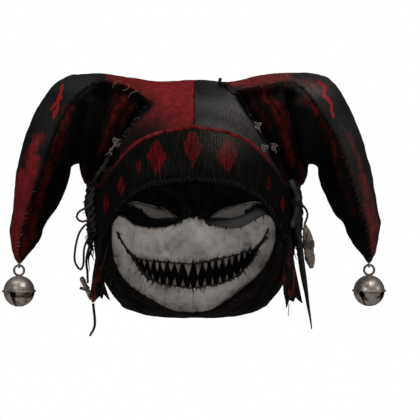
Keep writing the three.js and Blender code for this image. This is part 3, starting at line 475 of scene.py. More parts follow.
def grid(name, points, material, wrap=False, keep=None, **options):
    columns, rows, _ = points.shape
    faces = grid_faces(columns, rows, wrap)
    if keep is not None:
        faces = faces[keep[: columns if wrap else columns - 1, : rows - 1].ravel()]
    return piece(name, points.reshape(-1, 3), faces, material, **options)


def spline(a, b, c, d, f):
    """A smooth curve from b to c that heeds the points before and after."""
    return 0.5 * (2 * b + (c - a) * f + (2 * a - 5 * b + 4 * c - d) * f**2 + (3 * b - a - 3 * c + d) * f**3)


def smooth_line(points, count):
    """A smooth curve through points, in count steps of nearly equal length."""
    p = np.asarray(points, float)
    ends = np.vstack([2 * p[0] - p[1], p, 2 * p[-1] - p[-2]])
    f = np.linspace(0, 1, 24, endpoint=False)[:, None]
    fine = np.vstack([spline(*ends[k : k + 4], f) for k in range(len(p) - 1)] + [p[-1:]])
    run = run_of(fine)
    at = np.linspace(0, run[-1], count + 1)
    return np.stack([np.interp(at, run, fine[:, k]) for k in range(fine.shape[1])], -1)


def rope_points(line, radius, sides=10, strands=0, twist=0.0, flat=1.0, first=(0, 1, 0)):
    """Points of a tube along a line, laid or plaited by its strands and twist in turns per metre."""
    line = np.asarray(line, float)
    ahead = np.gradient(line, axis=0)
    ahead /= np.linalg.norm(ahead, axis=1)[:, None] + 1e-12
    side = np.array(first, float)
    run = run_of(line)
    radii = np.broadcast_to(radius, len(line))
    a = np.linspace(0, 2 * np.pi, sides, endpoint=False)
    out = []
    for k, p in enumerate(line):
        side = side - ahead[k] * side.dot(ahead[k])
        if np.linalg.norm(side) < 1e-6:
            side = np.cross(ahead[k], (0.3, 0.5, 0.8))
        side = side / np.linalg.norm(side)
        other = np.cross(ahead[k], side)
        r = radii[k]
        if strands:
            r = r * (1 + 0.16 * np.cos(strands * (a + 2 * np.pi * twist * run[k] / strands)))
        out.append(p + flat * (r * np.cos(a))[:, None] * side + (r * np.sin(a))[:, None] * other)
    return np.array(out)


def rope_mesh(line, radius, **shape):
    return closed_tube(rope_points(line, radius, **shape))


def joined(parts):
    """Several (points, faces) as one."""
    points, faces, start = [], [], 0
    for p, f in parts:
        points.append(p)
        faces += [tuple(start + i for i in face) for face in f]
        start += len(p)
    return np.vstack(points), faces


def away(line, columns, rows):
    """How far each place in the picture is from a line of picture points."""
    best = np.full(np.shape(columns), 1e9)
    for (a, b), (c, d) in zip(line[:-1], line[1:]):
        ux, uy = c - a, d - b
        f = np.clip(((columns - a) * ux + (rows - b) * uy) / max(ux * ux + uy * uy, 1e-9), 0, 1)
        best = np.minimum(best, np.hypot(columns - a - f * ux, rows - b - f * uy))
    return best


def inside(outline, columns, rows):
    found = np.zeros(np.shape(columns), bool)
    for (a, b), (c, d) in zip(outline, outline[1:] + outline[:1]):
        crosses = (b > rows) != (d > rows)
        found ^= crosses & (columns < (c - a) * (rows - b) / (d - b + 1e-12) + a)
    return found


def ease(x, low, high):
    f = np.clip((x - low) / (high - low), 0, 1)
    return f * f * (3 - 2 * f)


def lumps(points, size, seed=0):
    """Smooth random height from -1 to 1, one lump about every `size` metres."""
    flat = points.reshape(-1, 3) / size + seed * 17.3
    return np.array([noise.noise(p) for p in flat.tolist()]).reshape(points.shape[:-1])


def fading(distance, reach):
    """1 on a line, less over a reach beside it."""
    return np.exp(-((distance / reach) ** 2))


def spot(x, y, x0, y0, wide, high):
    """1 at the middle of a soft spot, less over its width and height."""
    return np.exp(-(((x - x0) / wide) ** 2) - ((y - y0) / high) ** 2)


def blank(x):
    """A third coordinate for lumps that only need two."""
    return np.zeros(np.shape(x))

# %% [markdown]
# ## The head form
# Hood, face, band and brow all lie on one head. Its level cuts are rounded ellipses whose half width,
# front and back are read from a short table. A point on it is named by its turn from the middle of the
# face, in degrees, and the share of the way down; `layer` steps out from the skin by a thickness.

# %% Head form
HALF_WIDTH, FRONT, BACK, HEIGHT = 0.1055, 0.102, 0.108, 0.248
ROUND = 2.25
# One row per level: share of the height that it is down, then half width, front and back as shares.
HEAD = np.array(
    [
        [0.000, 0.00, 0.00, 0.00],
        [0.008, 0.30, 0.30, 0.30],
        [0.045, 0.60, 0.58, 0.60],
        [0.120, 0.80, 0.77, 0.80],
        [0.240, 0.93, 0.90, 0.93],
        [0.400, 0.99, 0.97, 1.00],
        [0.560, 1.00, 1.00, 1.00],
        [0.700, 1.00, 1.00, 0.97],
        [0.800, 0.95, 0.985, 0.90],
        [0.885, 0.85, 0.95, 0.80],
        [0.945, 0.725, 0.88, 0.60],
        [0.985, 0.56, 0.75, 0.32],
        [1.000, 0.30, 0.58, -0.10],
        [0.995, 0.00, 0.40, -0.3778],
    ]
)
LAYER = 0.00285


def level(share, column):
    x = np.clip(share, 0, 1) * (len(HEAD) - 1)
    i = np.minimum(x.astype(int), len(HEAD) - 2)
    b, c = HEAD[i, column], HEAD[i + 1, column]
    a = np.where(i > 0, HEAD[np.maximum(i - 1, 0), column], 2 * b - c)
    d = np.where(i < len(HEAD) - 2, HEAD[np.minimum(i + 2, len(HEAD) - 1), column], 2 * c - b)
    return spline(a, b, c, d, x - i)


def bend(value, power):
    return np.sign(value) * np.abs(value) ** power


def skin(turn, share):
    turn, share = np.broadcast_arrays(np.radians(turn), np.asarray(share, float))
    wide, front, back = level(share, 1) * HALF_WIDTH, level(share, 2) * FRONT, level(share, 3) * BACK
    x = wide * bend(np.sin(turn), 2 / ROUND)
    y = (back - front) / 2 - (back + front) / 2 * bend(np.cos(turn), 2 / ROUND)
    return np.stack([x, y, -level(share, 0) * HEIGHT], -1)


def layer(turn, share, out):
    turn, share = np.broadcast_arrays(np.asarray(turn, float), np.asarray(share, float))
    middle = np.clip(share, 0.004, 0.996)
    across = skin(turn + 0.2, middle) - skin(turn - 0.2, middle)
    down = skin(turn, np.clip(share + 0.002, 0, 1)) - skin(turn, np.clip(share - 0.002, 0, 1))
    n = np.cross(down, across)
    n /= np.linalg.norm(n, axis=-1, keepdims=True) + 1e-15
    pole = (share < 0.004)[..., None]
    n = np.where(pole, np.array([0.0, 0.0, 1.0]), n)
    return skin(turn, share) + n * np.asarray(out)[..., None]


SHARES = np.linspace(0, 12 / 13, 3000)
DEPTHS = level(SHARES, 0)


def share_at(height):
    """The share of the way down at a height, which is given as a share of the head's height."""
    return np.interp(-np.asarray(height), DEPTHS, SHARES)


# Lines on the head, as turn in degrees and height as a share of the head's height.
PIPING = [[0, -0.2137], [17, -0.2339], [29, -0.2661], [38, -0.3105], [46, -0.371], [55, -0.4315],
          [64, -0.4556], [76, -0.4577], [95, -0.4516], [130, -0.4597], [180, -0.4677]]
ROLL = [[0, -0.4274], [20, -0.4456], [31, -0.4839], [40, -0.5343], [47, -0.5887], [54, -0.6532],
        [62, -0.7137]]
PLATE_TOP = [[-47.5, -0.6452], [-45, -0.6048], [-42, -0.5786], [-39, -0.5726], [-36, -0.5847],
             [-30, -0.6129], [-22, -0.625], [-14, -0.621], [-8, -0.6089], [-4, -0.5847], [0, -0.5706],
             [4, -0.5887], [7, -0.6109], [14, -0.621], [21, -0.623], [27, -0.6089], [33, -0.5847],
             [38, -0.5685], [42, -0.5766], [45, -0.6048], [46.5, -0.6371]]
EYE_TOP = [[-43, -0.5665], [-40, -0.5575], [-35, -0.526], [-29, -0.5121], [-21, -0.5263], [-14, -0.5414],
           [-7, -0.5696], [-4.2, -0.5799]]
LENS_TOP = [[-36, -0.5285], [-29, -0.5205], [-21, -0.5325], [-14, -0.5479], [-7, -0.5761]]
LENS_LOW = [[-36, -0.532], [-32, -0.5403], [-26, -0.5645], [-21, -0.5774], [-15, -0.5879], [-7, -0.5895]]


def along(line, turn, soft=2.0, even=False):
    """The height of a line at a turn, softened over a few degrees."""
    table = np.array(line)
    turn = np.abs(turn) if even else np.asarray(turn, float)
    total = 0
    for step, weight in ((-1, 1), (-0.5, 2), (0, 3), (0.5, 2), (1, 1)):
        at = turn + step * soft
        total = total + weight * np.interp(np.abs(at) if even else at, table[:, 0], table[:, 1])
    return total / 9


def patch(a, b, columns, rows, top, low):
    """Turns, shares of the way from top to low, and head shares of a patch between two lines."""
    turn = np.linspace(a, b, columns)[:, None] + np.zeros(rows)
    down = np.linspace(0, 1, rows) + np.zeros(columns)[:, None]
    height = top(turn) + (low(turn) - top(turn)) * down
    return turn, down, height, share_at(height)


print("head at the ears", np.round(skin(90, np.array(0.5)), 4))

# %% [markdown]
# ## Cords at the ears
# Thin dirty cords hang from the knots at both ears: a long loop, a short loop and a thong with a small
# cross of sticks on the left, and a loop with a bone shard on the right. They come first, because their
# room is checked against the frame. Each is a laid rope of real length along the route it hangs in.


# %% Cord routes
def at_ear(points, depth):
    return [(x * HALF_WIDTH, depth * FRONT, z * HEIGHT) for x, z in points]


LEFT_PLANE, RIGHT_PLANE = -0.47, -0.434
# Places that each cord goes through: x and z as shares of the head's half width and height.
ROUTES = {
    "loop_left": [[-1.083, -0.6089], [-1.13, -0.63], [-1.1659, -0.6573], [-1.1981, -0.7137],
                  [-1.2028, -0.7702], [-1.1526, -0.8044], [-1.1185, -0.7855], [-1.1071, -0.7137],
                  [-1.06, -0.66]],
    "small_loop_left": [[-1.04, -0.53], [-1.09, -0.54], [-1.1659, -0.5605], [-1.1801, -0.5847], [-1.13, -0.6],
                        [-1.06, -0.592]],
    "thong_left": [[-1.035, -0.673], [-1.0853, -0.7605], [-1.0758, -0.8185], [-1.0725, -0.8649]],
    "tail_left": [[-1.018, -0.9515], [-1.0019, -1.0431], [-1.0521, -1.0915]],
    "loop_right": [[1.05, -0.505], [1.08, -0.527], [1.11, -0.535], [1.1422, -0.5565], [1.145, -0.5806],
                   [1.12, -0.6105], [1.117, -0.63]],
}
THONGS = ("thong_left", "tail_left")
CORD, CORD_STEP = 0.0019, 0.0006
cords, centres = {}, {}
for name, places in ROUTES.items():
    route = at_ear(places, RIGHT_PLANE if name == "loop_right" else LEFT_PLANE)
    length = run_of(smooth_line(route, 60))[-1]
    line = smooth_line(route, int(length / CORD_STEP))
    thong = name in THONGS
    swell = 1.5 - 0.3 * np.linspace(0, 1, len(line)) ** 3 if thong else 1.2
    points, faces = rope_mesh(line, CORD / 2 * swell, sides=14, strands=0 if thong else 3, twist=230.0)
    stained = 0.9 * ease(-points[:, 2], 0.262, 0.266) * (name == "tail_left")
    cords[name] = piece(f"{name}_cord", points, faces, leather if thong else cord_twist, replaces=[name],
                        slot="cord", marks={"red": stained})
    centres[name] = line[np.unique([*range(0, len(line), 4), len(line) - 1])], length
    print(name, round(length * 1000, 1), "mm")

# %% [markdown]
# ## The small charms
# The cross is two weathered sticks bound with cord; the shard is a splinter of bone with a wrapping. Both
# are lofted along their length with uneven, faceted rings, which reads as broken rather than turned.


# %% Charms
def rough_rod(line, radii, flat, seed, sides=14, step=0.0006):
    """A rod along a line, with a radius at each of its points, roughened by two sizes of lumps."""
    line = np.asarray(line, float)
    run = run_of(line)
    at = np.linspace(0, run[-1], int(run[-1] / step) + 1)
    path = np.stack([np.interp(at, run, line[:, k]) for k in range(3)], -1)
    points, faces = rope_mesh(path, np.interp(at, run, radii), sides=sides, flat=flat)
    shift = lumps(points, 0.0035, seed) * 0.0005 + lumps(points, 0.0012, seed + 1) * 0.00022
    return points + shift[:, None] * np.array([1, 1, 0.4]), faces


def wrapping(middle, ahead, radius, turns, width, wire=0.00042, flat=1.0):
    """Cord wound round a rod."""
    ahead = np.asarray(ahead, float) / np.linalg.norm(ahead)
    side = np.array([0.0, 1.0, 0.0])
    other = np.cross(ahead, side)
    a = np.linspace(0, 2 * np.pi * turns, int(22 * turns))
    line = np.asarray(middle) + ahead * ((a / a[-1] - 0.5) * width)[:, None]
    line = line + side * (flat * radius * np.cos(a))[:, None] + other * (radius * np.sin(a))[:, None]
    return rope_mesh(line, wire, sides=6)


STICK = [[-1.1374, -0.8375], [-1.1232, -0.8508], [-1.0474, -0.9234], [-1.0237, -0.9476]]
BAR = [[-1.152, -0.8841], [-1.09, -0.8905], [-1.0332, -0.9042]]
stick = at_ear(STICK, LEFT_PLANE)
bar = [np.array(p) + (0, -0.0016, 0) for p in at_ear(BAR, LEFT_PLANE)]
wood = [rough_rod(stick, [0.0021, 0.0027, 0.0020, 0.0008], 0.85, 3),
        rough_rod(bar, [0.0015, 0.0020, 0.0013], 0.9, 5)]
cross = (np.array(stick[1]) + np.array(stick[2])) / 2 + (0.0004, -0.0008, -0.0002)
bind = joined([wrapping(cross, (1, 0, -1.1), 0.0030, 3.5, 0.0035),
               wrapping(cross, (1, 0, -0.15), 0.0030, 3, 0.003)])
points, faces = joined([*wood, bind])
dark = [ease(np.abs(lumps(rod[0], 0.004, 2)), 0.2, 0.7) for rod in wood]
charm_left = piece("stick_cross", points, faces, bone, replaces=["charm_left"], slot="bone",
                   marks={"shade": np.concatenate([*dark, np.full(len(bind[0]), 0.45)])})

# x and z of the splinter's middle as shares, and its half thickness in metres.
SHARD = [[1.1225, -0.6149, 0.0016], [1.134, -0.6371, 0.0036], [1.148, -0.6674, 0.0052],
         [1.154, -0.6855, 0.0061], [1.158, -0.7097, 0.0060], [1.161, -0.7237, 0.0052],
         [1.173, -0.7581, 0.0056], [1.183, -0.7844, 0.0038], [1.188, -0.8020, 0.0018]]
line = at_ear([row[:2] for row in SHARD], RIGHT_PLANE)
splinter = rough_rod(line, [row[2] for row in SHARD], 0.62, 9, sides=18)
middle = (np.array(line[3]) + np.array(line[4])) / 2
bind = wrapping(middle, (0.12, 0, -1), 0.0064, 4.5, 0.0058, 0.0005, 0.68)
points, faces = joined([splinter, bind])
dark = np.concatenate([ease(lumps(splinter[0], 0.006, 4), 0.0, 0.6), np.full(len(bind[0]), 0.55)])
charm_right = piece("bone_shard", points, faces, bone, replaces=["charm_right"], slot="bone",
                    marks={"shade": dark})

# %% [markdown]
# ## The ends of the cords
# What each cord ends in is listed; the loop only reads it with each cord's points and length.

ENDS = {
    "loop_left": ("object", []),
    "small_loop_left": ("object", []),
    "thong_left": ("fitting", [charm_left]),
    "tail_left": ("bare", []),
    "loop_right": ("fitting", [charm_right]),
}
for name, (far_end, along_it) in ENDS.items():
    centre, length = centres[name]

# %% [markdown]
# ## The hat
# The crown and the two horns are one cloth form. Lofting each horn along its cuts and joining it to the
# head gives closed bodies that cross; a voxel remesh melts them into one even skin, a few rounds of
# smoothing take the steps out, and then folds, seams and dents are pushed in along the normals.

# %% Horn cuts
HAT = 0.206
# One row per cut from the middle seam to the tip: outer x and z, inner x and z and half depth. They are
# shares of the hat's half width, the head's height and the head's front.
HORN_LEFT = np.array(
    [
        [0, 0.0242, 0, -0.3952, 0.92],
        [-0.1942, 0.0181, -0.2039, -0.4032, 0.89],
        [-0.3495, 0.0363, -0.3398, -0.4234, 0.843],
        [-0.4806, 0.0524, -0.4515, -0.4435, 0.706],
        [-0.6019, 0.0524, -0.5825, -0.4395, 0.588],
        [-0.7087, 0.0323, -0.598, -0.352, 0.51],
        [-0.8058, -0.0524, -0.6456, -0.3468, 0.451],
        [-0.8835, -0.1855, -0.665, -0.3589, 0.412],
        [-0.9345, -0.3185, -0.6675, -0.3911, 0.373],
        [-0.9612, -0.4597, -0.6845, -0.4476, 0.333],
        [-0.9733, -0.5605, -0.7451, -0.5484, 0.265],
        [-0.9879, -0.6331, -0.8058, -0.625, 0.206],
        [-0.983, -0.6815, -0.8325, -0.6815, 0.162],
        [-0.9757, -0.7339, -0.8738, -0.7339, 0.113],
        [-0.9612, -0.7661, -0.9078, -0.7661, 0.064],
        [-0.9393, -0.7815, -0.9345, -0.7815, 0.012],
    ]
)
HORN_RIGHT = np.array(
    [
        [0, 0.0242, 0, -0.3952, 0.92],
        [0.1942, 0.0161, 0.2039, -0.4032, 0.89],
        [0.3398, 0.0444, 0.3398, -0.4234, 0.843],
        [0.4854, 0.0565, 0.4563, -0.4435, 0.706],
        [0.5971, 0.0565, 0.58, -0.4395, 0.588],
        [0.7039, 0.0363, 0.598, -0.352, 0.51],
        [0.7937, -0.0484, 0.6456, -0.3468, 0.451],
        [0.8689, -0.1774, 0.6602, -0.3589, 0.412],
        [0.9223, -0.3145, 0.6626, -0.3911, 0.373],
        [0.9563, -0.4516, 0.6796, -0.4476, 0.333],
        [0.983, -0.5544, 0.7403, -0.5544, 0.265],
        [0.9976, -0.6048, 0.7937, -0.6048, 0.225],
        [0.9879, -0.6492, 0.8155, -0.6492, 0.186],
        [0.9757, -0.7016, 0.8471, -0.7016, 0.147],
        [0.965, -0.7379, 0.8786, -0.7379, 0.103],
        [0.949, -0.7661, 0.9126, -0.7661, 0.059],
        [0.9345, -0.7794, 0.9296, -0.7794, 0.012],
    ]
)


# %% [markdown]
# ## One skin for the hat
# Sewing would give the hat one soft surface over crown and horns. Here three closed bodies are melted into
# one: the remesh covers them with an even net of small squares, and smoothing rounds the steps away.


# %% Melt the hat together
def horn_body(cuts):
    a = np.linspace(0, 2 * np.pi, 64, endpoint=False)
    rings = []
    for x0, z0, x1, z1, depth in smooth_line(cuts * [HAT, HEIGHT, HAT, HEIGHT, FRONT], 90):
        middle = np.array([(x0 + x1) / 2, (BACK - FRONT) / 3, (z0 + z1) / 2])
        half = np.array([(x0 - x1) / 2, 0, (z0 - z1) / 2])
        ring = middle + bend(np.cos(a), 0.9)[:, None] * half
        ring[:, 1] += max(depth, 0.0005) * bend(np.sin(a), 0.9)
        rings.append(ring)
    return closed_tube(np.array(rings))


def head_body(out, around=96, levels=60):
    turn = np.linspace(-180, 180, around, endpoint=False)[:, None] + np.zeros(levels)
    share = 0.9 * np.sin(np.pi / 2 * np.linspace(0, 1, levels)) ** 0.9 + np.zeros(around)[:, None]
    points = np.vstack([layer(turn, share, out).reshape(-1, 3), (0, 0.01, -0.2)])
    low = [k * levels + levels - 1 for k in range(around)]
    faces = [tuple(f) for f in grid_faces(around, levels, True)]
    return points, faces + [(low[k - 1], low[k], len(points) - 1) for k in range(around)]


CROWN_OUT = LAYER + 0.0025
NET = 0.00185
points, faces = joined([horn_body(HORN_LEFT), horn_body(HORN_RIGHT), head_body(CROWN_OUT)])
raw = bpy.data.meshes.new("hat_form")
raw.from_pydata([tuple(p) for p in points], [], faces)
form = bpy.data.objects.new("hat_form", raw)
bpy.context.scene.collection.objects.link(form)
melt = form.modifiers.new("melt", "REMESH")
melt.mode = "VOXEL"
melt.voxel_size = NET
soft = form.modifiers.new("soften", "SMOOTH")
soft.factor = 0.5
soft.iterations = 10
melted = bpy.data.meshes.new_from_object(form.evaluated_get(bpy.context.evaluated_depsgraph_get()))
bpy.data.objects.remove(form)
print("hat form", len(melted.vertices), "points")

# %% [markdown]
# ## Folds, seams and dye of the hat
# The horns are sewn from panels. A long seam with whip stitches runs down the front of each horn, and next
# to the crown the cloth folds under an overhanging edge into a dark pocket. The lines below say where each
# of these runs, as columns and rows of the picture; the same line on the back makes the hat whole.

# %% Lines on the hat
LONG_SEAM = {
    "left": [(112, 82), (94, 83), (80, 93), (68, 107), (56, 129), (48, 151), (40, 177), (33, 195), (28, 209),
             (22, 231), (19, 256)],
    "right": [(278, 83), (294, 83), (304, 89), (314, 101), (326, 119), (338, 139), (346, 161), (354, 185),
              (360, 205), (366, 225), (370, 245), (371, 256)],
}
EDGE = {
    "left": [(94, 84), (104, 81), (116, 83), (128, 86), (140, 93), (150, 101)],
    "right": [(232, 92), (246, 88), (258, 86), (270, 84), (284, 83), (296, 84)],
}
CROWN_SEAM = {
    "left": [(150, 101), (138, 118), (128, 130), (120, 142), (111, 155), (105, 168), (97, 180), (92, 190)],
    "right": [(229, 84), (238, 100), (248, 117), (256, 126), (263, 139), (272, 147), (280, 163), (288, 175),
              (293, 183)],
}
POCKET = {
    "left": [(94, 85), (104, 82), (116, 84), (128, 87), (140, 94), (150, 102), (138, 119), (120, 143),
             (111, 156), (104, 170), (95, 187), (84, 190), (84, 166), (77, 160), (70, 160), (72, 132),
             (76, 108), (84, 92)],
    "right": [(236, 93), (246, 90), (258, 88), (270, 86), (284, 85), (296, 87), (306, 96), (312, 112),
              (316, 135), (318, 158), (311, 160), (305, 166), (303, 185), (292, 182), (280, 163), (272, 147),
              (256, 126), (248, 117), (240, 104)],
}
# The sides of the horns that turn inward, from the long seam over the overhang down to the crown seam.
UNDER_HORN = {
    "left": [(30, 275), (75, 240), (80, 196), (92, 191)],
    "right": [(355, 275), (312, 240), (306, 196), (293, 184)],
}
INNER = {
    side: LONG_SEAM[side][1:] + UNDER_HORN[side] + CROWN_SEAM[side][::-1]
    + (EDGE[side][::-1] if side == "left" else EDGE[side])
    for side in LONG_SEAM
}
# Each fold: its line, half width in columns, and how far it is pushed, in metres.
FOLDS = [
    ([(147, 104), (132, 117), (118, 133), (109, 158)], 6.0, -0.0075),
    ([(100, 88), (96, 115), (92, 150), (90, 176)], 6.5, -0.0065),
    ([(82, 104), (78, 130), (78, 156)], 4.5, -0.0045),
    ([(124, 90), (116, 108), (106, 135), (98, 165)], 5.0, 0.0040),
    ([(90, 94), (86, 125), (85, 160), (86, 186)], 3.5, 0.0030),
    ([(74, 112), (68, 135), (70, 158)], 4.0, 0.0030),
    ([(62, 135), (56, 160), (52, 190), (44, 222)], 5.0, -0.0030),
    ([(54, 200), (44, 222), (34, 240)], 4.0, 0.0022),
    ([(246, 97), (256, 112), (268, 135), (284, 162), (291, 176)], 5.5, -0.0070),
    ([(293, 93), (297, 118), (300, 145), (302, 164)], 5.0, -0.0068),
    ([(262, 92), (274, 108), (284, 132), (292, 166)], 5.0, 0.0042),
    ([(282, 90), (289, 112), (295, 140), (299, 168)], 3.0, 0.0034),
    ([(306, 100), (310, 125), (312, 152)], 4.0, 0.0030),
    ([(322, 122), (326, 150), (332, 185), (342, 215)], 5.5, -0.0030),
    ([(332, 190), (344, 215), (352, 236)], 4.5, 0.0022),
    ([(318, 78), (300, 76), (282, 78)], 4.0, -0.0012),
    ([(60, 92), (50, 110), (38, 138)], 5.0, -0.0012),
    ([(344, 104), (352, 128), (358, 150)], 5.0, -0.0014),
]
# Red dye, brushed on: line, half width in columns, strength.
DYE = [
    ([(22, 176), (19, 205), (16, 232), (17, 256)], 9, 1.0),
    ([(34, 160), (27, 185), (24, 210), (20, 240)], 8, 1.0),
    ([(38, 138), (29, 158)], 7, 0.75),
    ([(70, 110), (61, 135), (52, 165), (42, 195), (32, 225), (24, 250)], 7, 0.72),
    ([(60, 190), (50, 215)], 3, 0.5),
    ([(126, 90), (118, 104), (110, 126), (102, 150)], 6, 0.66),
    ([(134, 96), (126, 110), (118, 128)], 4, 0.6),
    ([(116, 86), (108, 104), (100, 130), (94, 160)], 4.5, 0.45),
    ([(104, 86), (98, 104), (92, 130)], 4, 0.4),
    ([(112, 160), (104, 178)], 3, 0.7),
    ([(85, 166), (84, 190)], 1.5, 0.7),
    ([(230, 84), (252, 79), (276, 76), (288, 77)], 6, 1.0),
    ([(246, 86), (262, 82), (282, 80)], 5, 0.85),
    ([(296, 80), (310, 82), (322, 92)], 6, 0.6),
    ([(246, 88), (258, 104), (270, 128)], 4.5, 0.55),
    ([(260, 86), (272, 104), (284, 134), (293, 170)], 5.5, 0.66),
    ([(270, 85), (280, 102), (288, 128)], 5, 0.6),
    ([(284, 85), (290, 100), (292, 122)], 4, 0.5),
    ([(262, 120), (276, 146), (288, 170)], 4, 0.45),
    ([(304, 98), (318, 112), (328, 132), (336, 156)], 5, 0.6),
    ([(330, 150), (342, 182), (354, 215)], 4, 0.48),
    ([(350, 134), (359, 162), (369, 196)], 3.2, 0.62),
    ([(362, 176), (371, 205), (376, 232)], 6, 0.75),
    ([(366, 204), (372, 222), (373, 250)], 6, 0.85),
    ([(302, 165), (303, 186)], 3, 0.7),
]
SLASHES = [
    ([(62, 85), (60, 93), (57, 100), (58, 106), (54, 117)], 2.1),
    ([(50, 109), (55, 103), (61, 97)], 1.7),
    ([(318, 80), (325, 86), (324, 95), (331, 103), (332, 112), (334, 118)], 1.9),
    ([(324, 97), (331, 101)], 1.2),
]

# %% [markdown]
# ## Folding the hat
# Real felt folds where it is sewn and where it hangs. Each line above pushes the points beside it in or out
# along the normals, and the same pass paints shade where the cloth lies deep and a little light on raised
# folds.

# %% Shape the hat
TIP_DROP = 0.0017
count = len(melted.vertices)
skin_points = np.zeros(count * 3)
melted.vertices.foreach_get("co", skin_points)
skin_points = skin_points.reshape(-1, 3)
normals = np.zeros(count * 3, np.float32)
melted.vertex_normals.foreach_get("vector", normals)
normals = normals.reshape(-1, 3).astype(float)
for cuts, sign in ((HORN_LEFT, -1), (HORN_RIGHT, 1)):
    end = skin_points[:, 0] * sign > 0.14
    low_tip = skin_points[end, 2].min()
    pull = ease(-skin_points[:, 2], 0.165, 0.192) * end
    slim = 1 - 0.38 * ease(-skin_points[:, 2], 0.172, 0.196) * end
    tip_x = (cuts[-1][0] + cuts[-1][2]) / 2 * HAT
    skin_points[:, 0] = tip_x + (skin_points[:, 0] - tip_x) * slim
    skin_points[:, 1] *= slim
    skin_points[:, 2] += (cuts[-1][1] * HEIGHT - TIP_DROP - low_tip) * pull
column, row = picture(skin_points)
on_left = skin_points[:, 0] < 0
facing_out = ease(np.abs(normals[:, 1]), 0.1, 0.45)

push, shade = np.zeros(count), np.zeros(count)
# Painted shade in the valleys of the folds, and a little painted light on their ridges.
for line, half, deep in FOLDS:
    near = fading(away(line, column, row), half)
    push += deep * near * facing_out
    shade += (0.85 * near if deep < 0 else -0.25 * near) * min(abs(deep) / 0.006, 1)
for side, outline in POCKET.items():
    within = inside(outline, column, row)
    depth = away(outline + outline[:1], column, row)
    under = away(EDGE[side], column, row)
    dip = within * ease(depth, 0.4, 5.0) * (0.0075 * fading(under, 26.0) + 0.0015)
    push -= dip * facing_out
    # Painted shade deep in the pocket, darkest under the overhanging edge.
    shade += within * ease(depth, 0.0, 2.5) * (0.75 * fading(under, 6.0) + 0.16)
    push += 0.0016 * np.where(within, 0, fading(under, 4.0)) * facing_out
for side in LONG_SEAM:
    gap = away(LONG_SEAM[side], column, row)
    push += (-0.0013 * fading(gap, 1.3) + 0.0009 * fading(gap - 3.6, 2.2)) * facing_out
    shade += 0.8 * fading(gap, 1.2)
    gap = away(CROWN_SEAM[side], column, row)
    push -= 0.0012 * fading(gap, 1.3) * facing_out
    shade += 0.7 * fading(gap, 1.3)
top_line = fading(skin_points[:, 0], 0.0012)
push -= 0.0005 * top_line
shade += 0.15 * top_line
hanging = ease(np.abs(skin_points[:, 0]), 0.10, 0.14)
push += lumps(skin_points, 0.021, 1) * 0.0013 * (0.35 + 0.65 * hanging)
push += lumps(skin_points, 0.0075, 2) * 0.00045
push += lumps(skin_points * [1, 1, 0.45], 0.0085, 3) * 0.0007 * hanging
print("hat pushed", round(push.min() * 1000, 1), "to", round(push.max() * 1000, 1), "mm")

# %% [markdown]
# ## Dyeing the hat
# The left half is red at the crown and only brushed with red on the horn; the right half is black, with a
# broad soft sheen painted on in grey. Marks on the mesh follow the seams exactly, which a pattern in the shader
# can't.

# %% Mark the hat
seam = {side: np.array(CROWN_SEAM[side]) for side in CROWN_SEAM}
left_of = np.interp(row, seam["left"][:, 1], seam["left"][:, 0])
right_of = np.interp(row, seam["right"][:, 1], seam["right"][:, 0])
left_crown = on_left & ~inside(POCKET["left"], column, row) & (column > np.where(row > 100, left_of, 96))
left_crown &= (row > 100) | (row < np.interp(column, *np.array(EDGE["left"]).T) + 1)
red = np.where(left_crown, 1.0, 0.0)
red = np.where(left_crown & (row < 100), ease(column, 100, 112), red)
for line, half, strength in DYE:
    red = np.maximum(red, strength * (1 - ease(away(line, column, row), 0.0, 1.7 * half)))
bright = np.zeros(count)
frayed = lumps(skin_points, 0.0032, 27)
for line, half in SLASHES:
    bright = np.maximum(bright, 1 - ease(away(line, column, row) + 1.1 * frayed, 0.35 * half, 1.15 * half))
bright = np.maximum(bright, 0.62 * fading(skin_points[:, 0] - 0.0006, 0.0008) * (row < 130))

# Spots of grey, partly rubbed cloth and partly painted sheen: column, row, width, height, strength,
# and whether they are on the left.
WEAR_AND_SHEEN_SPOTS = [
    (312, 86, 26, 13, 1.0, False),
    (82, 84, 26, 12, 0.36, True),
    (52, 122, 14, 22, 0.3, True),
    (350, 130, 12, 26, 0.3, False),
]
right_crown = ~on_left & (column < right_of) & (row > 76)
# A painted sheen over the right of the crown, strongest in one soft spot.
wear_and_sheen = right_crown * ease(column, 190, 215) * (0.36 + 0.6 * spot(column, row, 238, 112, 17, 24))
for c, r, wide, high, strength, left in WEAR_AND_SHEEN_SPOTS:
    wear_and_sheen += strength * spot(column, row, c, r, wide, high) * (on_left == left)
wear_and_sheen = np.clip(wear_and_sheen * (1 - np.clip(shade, 0, 1)), 0, 1)
gloss_mark = np.clip(0.9 * right_crown + wear_and_sheen, 0, 1)
shade += 0.35 * ease(column, 58, 80) * ease(row, 100, 130) * (column < 84) * on_left
# Painted shade: the left crown darkens low down and beside the overhanging edge.
shade += left_crown * (0.8 * ease(row, 92, 140) * (1 - ease(column, 150, 196)) + 0.22 * ease(row, 100, 134))
shade += 0.35 * left_crown * fading(away(EDGE["left"], column, row), 9)
shade += 0.3 * ease(row, 150, 200) * ease(np.abs(skin_points[:, 0]), 0.11, 0.13)
skin_points = skin_points + normals * push[:, None]
hat_marks = {"red": red, "shade": np.clip(shade, 0, 0.97), "bright": bright, "wear_and_sheen": wear_and_sheen,
             "gloss": gloss_mark}
print("red share of the hat", round(float((red > 0.5).mean()), 2))

# %% [markdown]
# ## Cutting the hat
# The part of the form below the piping belongs to the hood, so its faces are dropped, and the hat is cut
# in two along the middle seam, as it is sewn.


